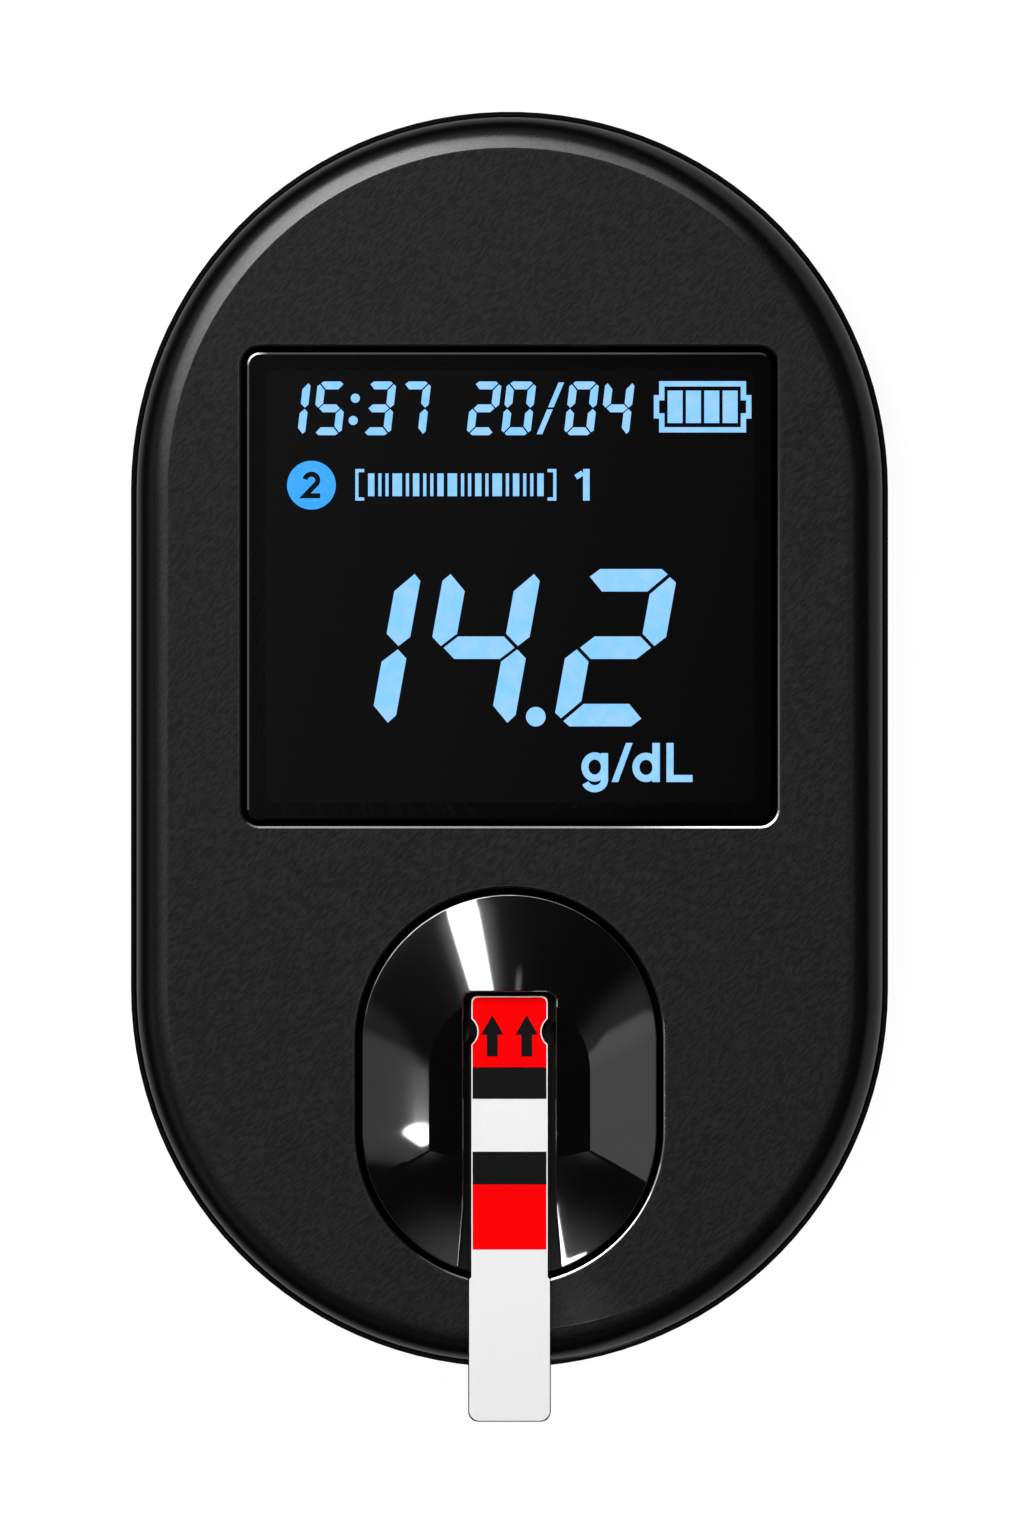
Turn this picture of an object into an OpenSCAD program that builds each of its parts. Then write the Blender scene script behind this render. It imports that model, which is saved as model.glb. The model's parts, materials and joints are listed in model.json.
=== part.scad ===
// Hand-held hemoglobin meter with a test strip in its reading channel.
// It lies on its back: +Z points out of the display, +Y to the top of the meter.
// The origin is the middle of the body on the plane that its feet stand on. Sizes in millimetres.

/* [Body] */
// Width of the body across the mid band
body_w = 60; // [56:0.5:80]
// Length of the body along the mid band
body_l = 99.5; // [98:0.5:130]
// Height of the face above the table
body_h = 20; // [19:0.5:28]
// Wall of both covers
wall = 2; // [1.6:0.1:2.4]
// Height of the joint between the rear cover and the mid band
split_z = 11; // [10.6:0.1:13]
// Height of the mid band
band_h = 1.6; // [1.2:0.1:2]
// Step from the covers out to the mid band
band_proud = 0.5; // [0.45:0.05:0.8]
// Small bevel on the band's two outer edges
band_bevel = 0.3; // [0.1:0.05:0.5]
// Thickness of the tongue that lines up both covers
tongue_t = 1; // [0.8:0.1:1.4]
// Reach of that tongue into each cover
tongue_reach = 0.8; // [0.5:0.1:1.4]
// Radius of the front cover's rounded rim
rim_r = 3.72; // [3:0.01:4.5]
// Slope of the rim where it meets the face, in degrees
rim_slope = 20; // [10:1:30]
// Radius of the rear cover's rounded edge
back_r = 4.5; // [3:0.1:5]
// Thickness of the front cover's face
face_t = 2.2; // [2:0.1:3]

/* [Display] */
// Height of the display's centre above the body's centre
disp_y = 12.1; // [8:0.1:14]
// Width of the lens
lens_w = 41.5; // [34:0.5:44]
// Height of the lens
lens_l = 37; // [30:0.5:38]
// Thickness of the lens
lens_t = 1.1; // [0.8:0.1:1.3]
// Corner radius of the lens
lens_r = 1; // [0.5:0.1:3]
// Gap round the lens
lens_gap = 0.46; // [0.2:0.02:0.8]
// Thickness of the lens adhesive
adhesive_t = 0.15; // [0.1:0.05:0.3]
// Width of the ledge under the lens
ledge_w = 1.6; // [1.2:0.1:2.5]
// Bevel on the lens and on the edges of the face's recesses
edge_bevel = 0.14; // [0.05:0.01:0.3]
// Thickness of the display gasket
gasket_t = 0.5; // [0.3:0.1:1]
// Thickness of the display panel
panel_t = 1.6; // [1:0.1:2]
// Thickness of the light guide
guide_t = 2; // [1:0.1:2.5]
// Wall of the display frame
frame_t = 1; // [0.8:0.1:1.4]
// Width of the display ribbon
ribbon_w = 14; // [8:1:20]

/* [Strip dome] */
// Distance of the dome's centre below the body's centre
dome_y = 27.4; // [26.5:0.1:30]
// End radius of the recess round the dome
ring_r = 12.17; // [10:0.01:13]
// Straight length of the recess round the dome
dome_straight = 7; // [4:0.1:8]
// Gap between the dome and its recess
ring_gap = 0.55; // [0.3:0.01:0.8]
// Depth of the dome's seat below the face
seat_depth = 1.4; // [1:0.1:1.6]
// Width of the ledge that the dome sits on
seat_w = 1.8; // [1.2:0.1:2.5]
// Height of the dome's rim above the face
dome_rim_h = 0.3; // [0.1:0.05:0.6]
// Height of the shoulder above the face
dome_shoulder_h = 2; // [1.2:0.1:2.4]
// Distance of the shoulder from the dome's centre line
dome_shoulder_x = 6.4; // [5:0.1:8]
// Height of the dome's crown above the face
dome_crown_h = 2.5; // [2.2:0.1:3.2]

/* [Strip channel] */
// Width of the channel
slot_w = 7.27; // [6.9:0.01:8]
// Distance from the dome's centre up to the closed end of the channel
slot_reach = 7.43; // [6:0.01:8]
// Corner radius of the channel's closed end
slot_r = 0.7; // [0.3:0.1:1.5]
// Widening of each channel wall at the mouth
slot_flare = 0.46; // [0:0.02:0.6]
// Length of the widening mouth
flare_l = 5.5; // [3:0.5:7]
// Wall of the tray beside the channel
tray_wall = 0.45; // [0.4:0.05:0.8]
// Height of the channel floor above the face
floor_h = 0.15; // [0.1:0.05:0.3]
// How far each locating boss stands out of the channel wall
boss_out = 0.5; // [0.2:0.02:0.56]
// Distance from the closed end of the channel to the bosses
boss_reach = 3.18; // [2.4:0.01:5]
// Height of each locating boss along the channel
boss_l = 1.8; // [1:0.1:2.2]
// Width of the optical window
window_w = 4.4; // [3:0.1:5]
// Length of the optical window
window_l = 6; // [4:0.1:8]

/* [Test strip] */
// Width of the strip's narrow part
strip_w = 6.03; // [5:0.01:6.2]
// Width of the strip's tail
tail_w = 6.53; // [5:0.01:6.8]
// Length of the whole strip
strip_l = 33.64; // [31:0.01:40]
// Length of the strip's narrow part
narrow_l = 22.2; // [21.8:0.1:24]
// Gap between the strip's tip and the end of the channel
tip_gap = 0.33; // [0.2:0.01:1]
// Gap under the strip
strip_gap = 0.1; // [0.05:0.01:0.2]
// Thickness of the strip's film base
base_t = 0.3; // [0.2:0.05:0.4]
// Thickness of the strip's card
card_t = 0.25; // [0.15:0.05:0.4]
// Thickness of the printed layer
ink_t = 0.04; // [0.02:0.01:0.08]
// White margin beside the printed bands
ink_margin = 0.1; // [0.05:0.01:0.2]
// Margin between card and film base
card_margin = 0.08; // [0.02:0.01:0.15]
// Height of the notches in the strip's sides
notch_l = 2; // [1:0.1:2.4]
// Depth of the notches
notch_d = 0.48; // [0.3:0.01:0.8]
// Distance from the strip's tip to the notches' middle
notch_y = 2.8; // [2:0.1:4]
// Ends of the red, black, white, black and red bands, from the strip's tip
band_1 = 5.61; // [4.9:0.01:6]
// End of the first black band
band_2 = 8.11; // [7:0.01:9]
// End of the white band
band_3 = 12.29; // [11:0.01:13]
// End of the second black band
band_4 = 14.88; // [14:0.01:16]
// End of the second red band
band_5 = 20.02; // [18:0.01:21]

/* [Keys] */
// Length of a key
key_l = 9; // [7:0.5:10]
// Height of a key
key_h = 3.2; // [2.6:0.1:3.6]
// How far a key stands out of the cover
key_proud = 0.4; // [0.2:0.05:0.45]
// Travel of a key
key_travel = 0.4; // [0.2:0.05:0.6]
// Gap round a key
key_gap = 0.25; // [0.2:0.05:0.4]
// Edge of the retaining flange beyond the key
flange_w = 0.7; // [0.5:0.1:1]
// Thickness of the flange
flange_t = 0.8; // [0.6:0.1:1]
// Distance from the end of the straight side to the up key
key_end = 3.25; // [2.75:0.25:6]
// Distance between the middles of the up and down keys
key_pitch = 12; // [11:0.5:18]
// Distance of the power key below the up key, on the other side
power_drop = 6; // [0:0.5:12]

/* [Inside] */
// Thickness of the battery cell
cell_t = 5.2; // [4:0.1:5.6]
// Width of the battery cell
cell_w = 34; // [24:1:36]
// Length of the battery cell
cell_l = 42; // [30:1:44]
// Thickness of the battery tape
tape_t = 0.3; // [0.2:0.1:0.5]
// Air above the battery cell
cell_air = 1.1; // [1:0.1:1.6]
// Thickness of the main board
board_t = 1; // [0.8:0.1:1.6]
// Gap between the board's edge and the wall
board_gap = 2; // [1.8:0.1:3]
// Width of the charging port
port_w = 8.94; // [7:0.01:10]
// Height of the charging port
port_h = 3.26; // [2.6:0.01:3.4]
// Length of the charging port
port_l = 7.3; // [5:0.1:9]
// Radius of the buzzer
buzzer_r = 6; // [4:0.5:6.5]
// Height of the buzzer
buzzer_h = 2.8; // [2:0.1:3.4]

/* [Fasteners and feet] */
// Sideways place of the case screws
screw_x = 14; // [12:0.5:16]
// Distance of the case screws from the ends of the body
screw_end = 12.75; // [12:0.25:14]
// Sideways place of the board screws
post_x = 21; // [19:0.5:22]
// Distance of the upper board screws from the display frame's legs
post_gap = 2.95; // [2.5:0.05:4]
// Radius of a case screw
screw_r = 1; // [0.8:0.05:1.2]
// Radius of a case screw's head
head_r = 2.2; // [1.8:0.1:2.4]
// Height of a case screw's head
head_h = 1.6; // [1.2:0.1:1.8]
// Clearance round screws and inserts
screw_gap = 0.05; // [0.03:0.01:0.1]
// Radius of a thread insert
insert_r = 1.6; // [1.5:0.05:1.8]
// Length of a thread insert
insert_l = 3.8; // [3:0.1:4.5]
// Height of a foot below the rear cover
foot_h = 0.8; // [0.6:0.1:1.2]
// Radius of a foot
foot_r = 4; // [3:0.1:4.5]
// Depth of the feet's seats in the rear cover
foot_seat = 0.6; // [0.4:0.1:0.8]
// Width of the rating label
label_w = 26; // [16:1:28]
// Length of the rating label
label_l = 32; // [16:1:36]

/* [Hidden] */
$fn = 96;

// Outline of the body: half width of the covers and half length of the straight sides
straight = (body_l - body_w) / 2;
band_r = body_w / 2;
cover_r = band_r - band_proud;
hollow_r = cover_r - wall;
band_top = split_z + band_h;

// Levels inside the case, from the table up
floor_z = foot_h + wall;
board_z = floor_z + tape_t + cell_t + cell_air;
board_top = board_z + board_t;
ceiling_z = body_h - face_t;
board_r = hollow_r - board_gap;
key_z = board_z - 1.75;
up_y = straight - key_end - key_l / 2;
down_y = up_y - key_pitch;
power_y = up_y - power_drop;
key_sides = [[1, power_y], [-1, up_y], [-1, down_y]];

// The rim is an arc that starts upright and meets the face at its slope
rim_rise = rim_r * cos(rim_slope);
rim_z = body_h - rim_rise;
rim_cx = cover_r - rim_r;
hollow_slope = 2.6;

// Display stack, from the face down
lens_z = body_h - lens_t;
seat_z = lens_z - adhesive_t;
panel_w = lens_w - 2;
panel_l = lens_l - 0.6;
panel_z = ceiling_z - gasket_t - panel_t;
guide_z = panel_z - guide_t;
frame_floor_z = guide_z - frame_t;
ribbon_top = guide_z + 1;
part_gap = 0.15;
frame_w = panel_w + 2 * (frame_t + part_gap);
frame_l = panel_l + 2 * (frame_t + part_gap);
leg_w = 4;

// Dome and channel
dome_r = ring_r - ring_gap;
dome_half = dome_straight / 2;
dome_z = body_h - seat_depth;
skirt_t = 2;
cavity_r = dome_r - skirt_t;
tray_flange_t = 1.2;
channel_z = body_h + floor_h;
channel_end = slot_reach - dome_y;
mouth_y = -dome_y - dome_half - dome_r;
boss_y = channel_end - boss_reach;
tray_head_r = 1.3;
tray_screw_x = cavity_r - 2 * tray_head_r - 0.02;
clip_l = 4;
clip_t = 0.5;
clip_x = ring_r - seat_w - clip_t - 0.15;

// Test strip, from its tip
tip_y = channel_end - tip_gap;
base_z = channel_z + strip_gap;
card_z = base_z + base_t;
ink_z = card_z + card_t;
tip_r = 0.45;
tail_r = 0.8;
arrow_x = 1.36;
arrow_tip = 1.5;
arrow_head = 1.54;
arrow_l = 3.25;
arrow_half = 0.89;
shaft_half = 0.43;

// Optics under the channel
optic_y = -dome_y - 0.1;
window_t = 0.8;
optics_w = 2 * (tray_screw_x - tray_head_r - 0.2);
optics_l = 15;
sensor_t = 0.8;
optics_h = 3;
sensor_z = dome_z - 0.1 - optics_h - sensor_t;
led_off = 4;
led_r = 1;

// Keys: outer face, flange and the post that meets the switch
key_face = cover_r + key_proud;
flange_x = hollow_r - 0.05;
post_l = 0.65;
plunger_x = flange_x - flange_t - post_l - key_travel - 0.05;
switch_h = 3.5;
switch_l = 4.5;
switch_d = 3;
plunger_l = 0.65;

// Fasteners
screw_y = body_l / 2 - screw_end;
post_y = disp_y + frame_l / 2 - leg_w - post_gap;
case_screw_places = [for (x = [-1, 1], y = [-1, 1]) [x * screw_x, y * screw_y]];
post_places = [for (x = [-1, 1], y = [-1, 1]) [x * post_x, y * post_y]];
foot_places = [for (x = [-1, 1], y = [-1, 1]) [x * (band_r - 12), y * (straight + 4.25)]];
front_boss_r = 2.6;
rear_boss_r = 3.4;
post_r = 2.4;
post_bore = 4.2;
tray_screw_r = 0.8;
tray_screw_l = 2;
tray_head_h = 0.8;
label_r = 2;
label_seat = 0.2;
head_seat_z = foot_h + 0.8 + head_h;
insert_z = split_z + 0.3;
board_screw_r = 0.95;
board_head_r = 1.9;

// Parts that follow the ends of the body
port_z = board_z - port_h;
port_mouth = body_l / 2 - band_proud - 0.55;
port_gap = 0.3;
buzzer_y = -(body_l / 2 - 17);
cell_y = -3;
lead_x = 8;
plug_y = cell_y + cell_l / 2 + 4;
header_y = -dome_y + 7;
grain = [0.15, 0.15, 0.16];
gloss = [0.03, 0.03, 0.03];

// Points of a quarter turn round a corner, from the angle a
function corner(x, y, r, a, n = 8) =
  [for (i = [0:n]) [x + r * cos(a + 90 * i / n), y + r * sin(a + 90 * i / n)]];

// A rounded rectangle as points, anticlockwise
function rounded(w, l, r) = concat(
  corner(w / 2 - r, l / 2 - r, r, 0), corner(r - w / 2, l / 2 - r, r, 90),
  corner(r - w / 2, r - l / 2, r, 180), corner(w / 2 - r, r - l / 2, r, 270)
);

// A half section swept round a stadium with straight sides 2 * half long
module stadium(half) {
  for (turn = [0, 180]) rotate(turn) {
    translate([0, half, 0]) rotate_extrude(angle = 180) children();
    translate([0, half, 0]) rotate([90, 0, 0]) linear_extrude(2 * half) children();
  }
}

// A flat plate with the stadium's outline
module stadium_plate(r, half, z, t) {
  stadium(half) translate([0, z]) square([r, t]);
}

// A rounded plate between two heights
module plate(w, l, r, z, t) {
  translate([0, 0, z]) linear_extrude(t) polygon(rounded(w, l, r));
}

// Opens the top edge of a rounded recess at 45 degrees
module recess_bevel(w, l, r, z) {
  hull() {
    plate(w, l, r, z - edge_bevel, 0.01);
    plate(w + 2 * edge_bevel, l + 2 * edge_bevel, r + edge_bevel, z, 0.01);
  }
}

// Half section of the front cover's outside
module cover_outside() {
  translate([0, band_top]) square([rim_cx, body_h - band_top]);
  translate([rim_cx, band_top]) square([rim_r, rim_z - band_top]);
  intersection() {
    translate([rim_cx, rim_z]) circle(rim_r);
    translate([rim_cx, rim_z]) square([rim_r, rim_rise]);
  }
}

// Half section of the front cover's hollow
module cover_hollow() {
  polygon([
    [0, band_top - 1], [hollow_r, band_top - 1], [hollow_r, ceiling_z - hollow_slope],
    [hollow_r - hollow_slope, ceiling_z], [0, ceiling_z]
  ]);
}

// Half section of the recess round the dome, with its bevelled edge
module ring_section() {
  polygon([
    [0, dome_z], [ring_r, dome_z], [ring_r, body_h - edge_bevel],
    [ring_r + edge_bevel, body_h], [ring_r + edge_bevel, body_h + 1], [0, body_h + 1]
  ]);
}

module front_cover() {
  color(grain) difference() {
    union() {
      difference() {
        stadium(straight) cover_outside();
        stadium(straight) cover_hollow();
      }
      for (p = case_screw_places)
        translate([p[0], p[1], split_z + 0.1])
          cylinder(r = front_boss_r, h = ceiling_z - split_z + 0.1);
    }
    translate([0, disp_y, 0]) {
      plate(lens_w + 2 * lens_gap, lens_l + 2 * lens_gap, lens_r + lens_gap, seat_z, 5);
      plate(lens_w - 2 * ledge_w, lens_l - 2 * ledge_w, lens_r, ceiling_z - 1, 5);
      recess_bevel(lens_w + 2 * lens_gap, lens_l + 2 * lens_gap, lens_r + lens_gap, body_h);
    }
    translate([0, -dome_y, 0]) {
      stadium(dome_half) ring_section();
      stadium_plate(ring_r - seat_w, dome_half, ceiling_z - 1, 3);
    }
    for (p = case_screw_places)
      translate([p[0], p[1], split_z])
        cylinder(r = insert_r + screw_gap, h = insert_l + 0.8);
  }
}

// Half section of the rear cover, grown inwards by t
module rear_section(t) {
  cx = cover_r - back_r;
  cz = foot_h + back_r;
  translate([0, foot_h + t]) square([cx, split_z - foot_h - t + (t > 0 ? 1 : 0)]);
  translate([cx, cz]) square([back_r - t, split_z - cz + (t > 0 ? 1 : 0)]);
  intersection() {
    translate([cx, cz]) circle(back_r - t);
    translate([cx, cz - back_r]) square([back_r, back_r]);
  }
}

// The charging port's outline, grown by t
module port_outline(t) {
  r = port_h / 2 + t;
  half = port_w / 2 - port_h / 2;
  for (side = [-1, 1]) translate([side * half, 0]) circle(r);
  square([2 * half, 2 * r], center = true);
}

module rear_cover() {
  color(grain) difference() {
    union() {
      difference() {
        stadium(straight) rear_section(0);
        stadium(straight) rear_section(wall);
      }
      for (p = case_screw_places)
        translate([p[0], p[1], foot_h + 0.5]) cylinder(r = rear_boss_r, h = split_z - foot_h - 0.5);
      for (p = post_places)
        translate([p[0], p[1], floor_z - 0.2]) cylinder(r = post_r, h = board_z - floor_z + 0.2);
    }
    for (p = case_screw_places) {
      translate([p[0], p[1], foot_h - 1]) cylinder(r = head_r + 0.25, h = head_seat_z - foot_h + 1);
      translate([p[0], p[1], foot_h]) cylinder(r = screw_r + 0.2, h = split_z);
    }
    for (p = post_places)
      translate([p[0], p[1], board_z - post_bore]) cylinder(r = board_screw_r + screw_gap, h = post_bore + 1);
    for (p = foot_places)
      translate([p[0], p[1], foot_h - 1]) cylinder(r = foot_r + 0.1, h = foot_seat + 1);
    for (k = key_sides)
      translate([k[0] * cover_r, k[1], key_z]) rotate([90, 0, 90])
        translate([0, 0, -2 * wall]) linear_extrude(4 * wall)
          polygon(rounded(key_l + 2 * key_gap, key_h + 2 * key_gap, 1 + key_gap));
    translate([0, body_l / 2 + 1, port_z + port_h / 2]) rotate([90, 0, 0])
      linear_extrude(2 * wall + 1) port_outline(port_gap);
    translate([0, buzzer_y, foot_h - 1]) sound_holes();
    plate(label_w + 0.4, label_l + 0.4, label_r + 0.2, foot_h - 1, 1 + label_seat);
  }
}

// One hole and six round it
module sound_holes() {
  hole_r = 0.5;
  ring = 2.4;
  cylinder(r = hole_r, h = wall + 2);
  for (a = [0:60:300]) rotate(a) translate([ring, 0, 0]) cylinder(r = hole_r, h = wall + 2);
}

module mid_band() {
  tongue_r = hollow_r - 0.1;
  color(gloss) stadium(straight) polygon([
    [tongue_r, split_z], [band_r - band_bevel, split_z], [band_r, split_z + band_bevel],
    [band_r, band_top - band_bevel], [band_r - band_bevel, band_top], [tongue_r, band_top],
    [tongue_r, band_top + tongue_reach], [tongue_r - tongue_t, band_top + tongue_reach],
    [tongue_r - tongue_t, split_z - tongue_reach], [tongue_r, split_z - tongue_reach]
  ]);
}

module display_lens() {
  color([0.05, 0.05, 0.06]) translate([0, disp_y, 0]) {
    plate(lens_w, lens_l, lens_r, lens_z, lens_t - edge_bevel);
    hull() {
      plate(lens_w, lens_l, lens_r, body_h - edge_bevel - 0.01, 0.01);
      plate(lens_w - 2 * edge_bevel, lens_l - 2 * edge_bevel, lens_r - edge_bevel, body_h - 0.01, 0.01);
    }
  }
}

module lens_adhesive() {
  color("dimgray") translate([0, disp_y, 0]) difference() {
    plate(lens_w, lens_l, lens_r, seat_z, adhesive_t);
    plate(lens_w - 2 * ledge_w + 0.4, lens_l - 2 * ledge_w + 0.4, lens_r, seat_z - 1, 3);
  }
}

module display_gasket() {
  color([0.1, 0.1, 0.1]) translate([0, disp_y, 0]) difference() {
    plate(panel_w, panel_l, lens_r, ceiling_z - gasket_t, gasket_t);
    plate(lens_w - 2 * ledge_w + 0.2, lens_l - 2 * ledge_w + 0.2, lens_r, ceiling_z - 3, 5);
  }
}

module display_panel() {
  color([0.02, 0.02, 0.03]) translate([0, disp_y, 0]) plate(panel_w, panel_l, 0.5, panel_z, panel_t);
}

module light_guide() {
  color("aliceblue") translate([0, disp_y, 0]) plate(panel_w, panel_l, 0.5, guide_z, guide_t);
}

module display_frame() {
  color("whitesmoke") translate([0, disp_y, 0]) difference() {
    plate(frame_w, frame_l, 1.5, board_top, panel_z + 1 - board_top);
    plate(panel_w + 2 * part_gap, panel_l + 2 * part_gap, 0.6, guide_z, 9);
    translate([-ribbon_w / 2 - 0.5, -frame_l / 2 - 1, ribbon_top - 0.6]) cube([ribbon_w + 1, frame_t + 2, 1]);
    translate([0, 0, board_top - 1]) linear_extrude(frame_floor_z - board_top + 1) {
      square([2 * frame_w, frame_l - 2 * leg_w], center = true);
      square([frame_w - 2 * leg_w, 2 * frame_l], center = true);
    }
  }
}

// A thin tail that leaves the light guide, turns down and ends on its plug on the board
module display_ribbon() {
  film = 0.2;
  plug_h = 1;
  run = 1.5;
  low = board_top + plug_h;
  bend = (ribbon_top - low) / 2;
  edge = disp_y - frame_l / 2;
  color("peru") translate([-ribbon_w / 2, edge - run, 0]) {
    translate([0, 0, ribbon_top - film]) cube([ribbon_w, run + frame_t + part_gap, film]);
    translate([0, 0, low]) cube([ribbon_w, run + 1, film]);
    translate([0, 0, low + bend]) rotate([90, 0, 90]) rotate(90)
      rotate_extrude(angle = 180) translate([bend - film, 0]) square([film, ribbon_w]);
  }
  color("ivory") translate([-ribbon_w / 2 - 1, edge - run + 0.4, board_top])
    cube([ribbon_w + 2, 2, plug_h]);
}

// Half section of the dome's outside: rim, flank and crown
module dome_section(foot) {
  rise = dome_crown_h - dome_shoulder_h;
  polygon(concat(
    [[0, foot], [dome_r, foot], [dome_r, body_h + dome_rim_h - edge_bevel],
     [dome_r - edge_bevel, body_h + dome_rim_h]],
    [for (i = [0:6]) let (x = dome_shoulder_x * (1 - i / 6))
      [x, body_h + dome_shoulder_h + rise * (1 - pow(x / dome_shoulder_x, 2))]]
  ));
}

// Plan of the channel, grown by t: a rounded closed end and a mouth that widens
module channel_plan(t) {
  half = slot_w / 2 + t;
  end = channel_end + t;
  r = slot_r + t;
  flare_y = mouth_y + flare_l;
  polygon(concat(
    corner(half - r, end - r, r, 0),
    corner(r - half, end - r, r, 90),
    [[-half, flare_y], [-half - slot_flare, mouth_y], [-half - slot_flare, mouth_y - 3],
     [half + slot_flare, mouth_y - 3], [half + slot_flare, mouth_y], [half, flare_y]]
  ));
}

module strip_dome() {
  color(gloss) {
    difference() {
      translate([0, -dome_y, 0]) difference() {
        stadium(dome_half) dome_section(dome_z);
        stadium_plate(cavity_r, dome_half, dome_z - 1, tray_flange_t + 1.05);
        for (x = [-tray_screw_x, tray_screw_x])
          translate([x, 0, dome_z]) cylinder(r = tray_screw_r + screw_gap, h = tray_screw_l + 0.2);
      }
      linear_extrude(2 * body_h) channel_plan(tray_wall + 0.05);
    }
    for (turn = [0, 180])
      translate([0, -dome_y, 0]) rotate(turn) dome_clip();
  }
}

// A spring clip that hooks under the edge of the cover's opening
module dome_clip() {
  hook = 0.6;
  reach = 0.8;
  low = ceiling_z - reach;
  translate([clip_x, -clip_l / 2, low]) {
    cube([clip_t, clip_l, dome_z - low + 0.6]);
    cube([clip_t + hook, clip_l, reach - 0.1]);
  }
}

module strip_tray() {
  color([0.07, 0.07, 0.07]) {
    difference() {
      union() {
        translate([0, -dome_y, 0]) stadium_plate(cavity_r - 0.2, dome_half, dome_z, tray_flange_t);
        intersection() {
          translate([0, 0, dome_z]) linear_extrude(body_h) channel_plan(tray_wall);
          translate([0, -dome_y, -0.04]) stadium(dome_half) dome_section(dome_z + 0.04);
        }
      }
      translate([0, 0, channel_z]) linear_extrude(body_h) channel_plan(0);
      translate([-window_w / 2 - 0.05, optic_y - window_l / 2 - 0.05, channel_z - window_t - 0.05])
        cube([window_w + 0.1, window_l + 0.1, 5]);
      translate([-window_w / 2 + 0.6, optic_y - window_l / 2 + 0.6, dome_z - 1])
        cube([window_w - 1.2, window_l - 1.2, 5]);
      for (x = [-tray_screw_x, tray_screw_x])
        translate([x, -dome_y, dome_z - 1]) cylinder(r = tray_screw_r + 0.1, h = 5);
    }
    for (side = [-1, 1]) locating_boss(side);
  }
}

// A half-round boss on the channel wall, as high as the dome there
module locating_boss(side) {
  r = (pow(boss_l / 2, 2) + pow(boss_out, 2)) / (2 * boss_out);
  top = body_h + dome_shoulder_h - 0.1;
  translate([side * slot_w / 2, boss_y, channel_z]) intersection() {
    translate([side * (r - boss_out), 0, -0.1]) cylinder(r = r, h = top - channel_z + 0.1);
    translate([side * (0.05 - boss_out / 2), 0, 0]) cube([boss_out + 0.1, boss_l, body_h], center = true);
  }
}

module optical_window() {
  color("lightcyan") translate([-window_w / 2, optic_y - window_l / 2, channel_z - window_t])
    cube([window_w, window_l, window_t - 0.03]);
}

module optics_block() {
  top = dome_z - 0.1;
  color([0.08, 0.08, 0.08]) translate([0, optic_y, sensor_z + sensor_t]) difference() {
    linear_extrude(optics_h) polygon(rounded(optics_w, optics_l, 1.5));
    for (y = [-led_off, 0, led_off])
      translate([0, y, -1]) cylinder(r = led_r + 0.3, h = optics_h + 2);
    translate([0, 0, optics_h - 1]) cylinder(r1 = led_r + 0.3, r2 = window_w / 2, h = 1.2);
  }
}

// Dome-topped lamps on the sensor board, on both sides of the photodiode
module read_leds() {
  color("lightyellow") for (y = [-led_off, led_off])
    translate([0, optic_y + y, sensor_z + sensor_t]) {
      cylinder(r = led_r, h = 1);
      translate([0, 0, 1]) intersection() {
        sphere(led_r);
        cylinder(r = led_r + 1, h = led_r + 1);
      }
    }
}

module photodiode() {
  color("slategray") translate([0, optic_y, sensor_z + sensor_t]) cylinder(r = led_r, h = 0.9);
}

module sensor_board() {
  color("darkgreen") translate([0, optic_y, 0]) plate(optics_w + 2, optics_l + 5, 1, sensor_z, sensor_t);
}

module board_header() {
  pins = 5;
  pitch = 1.27;
  color([0.1, 0.1, 0.1]) translate([-pins * pitch / 2, header_y - 1.1, board_top])
    cube([pins * pitch, 2.2, sensor_z - board_top]);
  color("gold") for (i = [0:pins - 1])
    translate([(i - (pins - 1) / 2) * pitch, header_y, board_z - 0.6]) cylinder(r = 0.2, h = board_t + 0.7);
}

module main_board() {
  color("darkgreen") difference() {
    stadium_plate(board_r, straight, board_z, board_t);
    for (p = case_screw_places)
      translate([p[0], p[1], board_z - 1]) cylinder(r = rear_boss_r + 0.3, h = board_t + 2);
    for (p = post_places)
      translate([p[0], p[1], board_z - 1]) cylinder(r = board_screw_r + 0.25, h = board_t + 2);
    for (i = [0:4])
      translate([(i - 2) * 1.27, header_y, board_z - 1]) cylinder(r = 0.3, h = board_t + 2);
  }
}

module board_chips() {
  chip_h = 1.2;
  color([0.12, 0.12, 0.12]) {
    translate([-5, disp_y - 5, board_top]) cube([10, 10, chip_h]);
    translate([9, disp_y - 9, board_top]) cube([5, 4, chip_h]);
    translate([-14, disp_y + 5, board_top]) cube([4, 6, chip_h]);
    translate([12, -dome_y + 4, board_top]) cube([5, 5, chip_h]);
    for (i = [0:3]) translate([-18, -dome_y + 1 + 2.4 * i, board_top]) cube([2, 1.2, 0.8]);
  }
}

// Side-acting switches that hang under the board behind each key
module key_switches() {
  for (k = key_sides) {
    face = k[0] * (plunger_x - plunger_l);
    color("gainsboro") translate([face - k[0] * switch_d / 2, k[1], board_z - switch_h / 2])
      cube([switch_d, switch_l, switch_h], center = true);
    color([0.1, 0.1, 0.1]) translate([face, k[1], key_z]) rotate([0, k[0] * 90, 0])
      cylinder(r = 0.7, h = plunger_l);
  }
}

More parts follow.
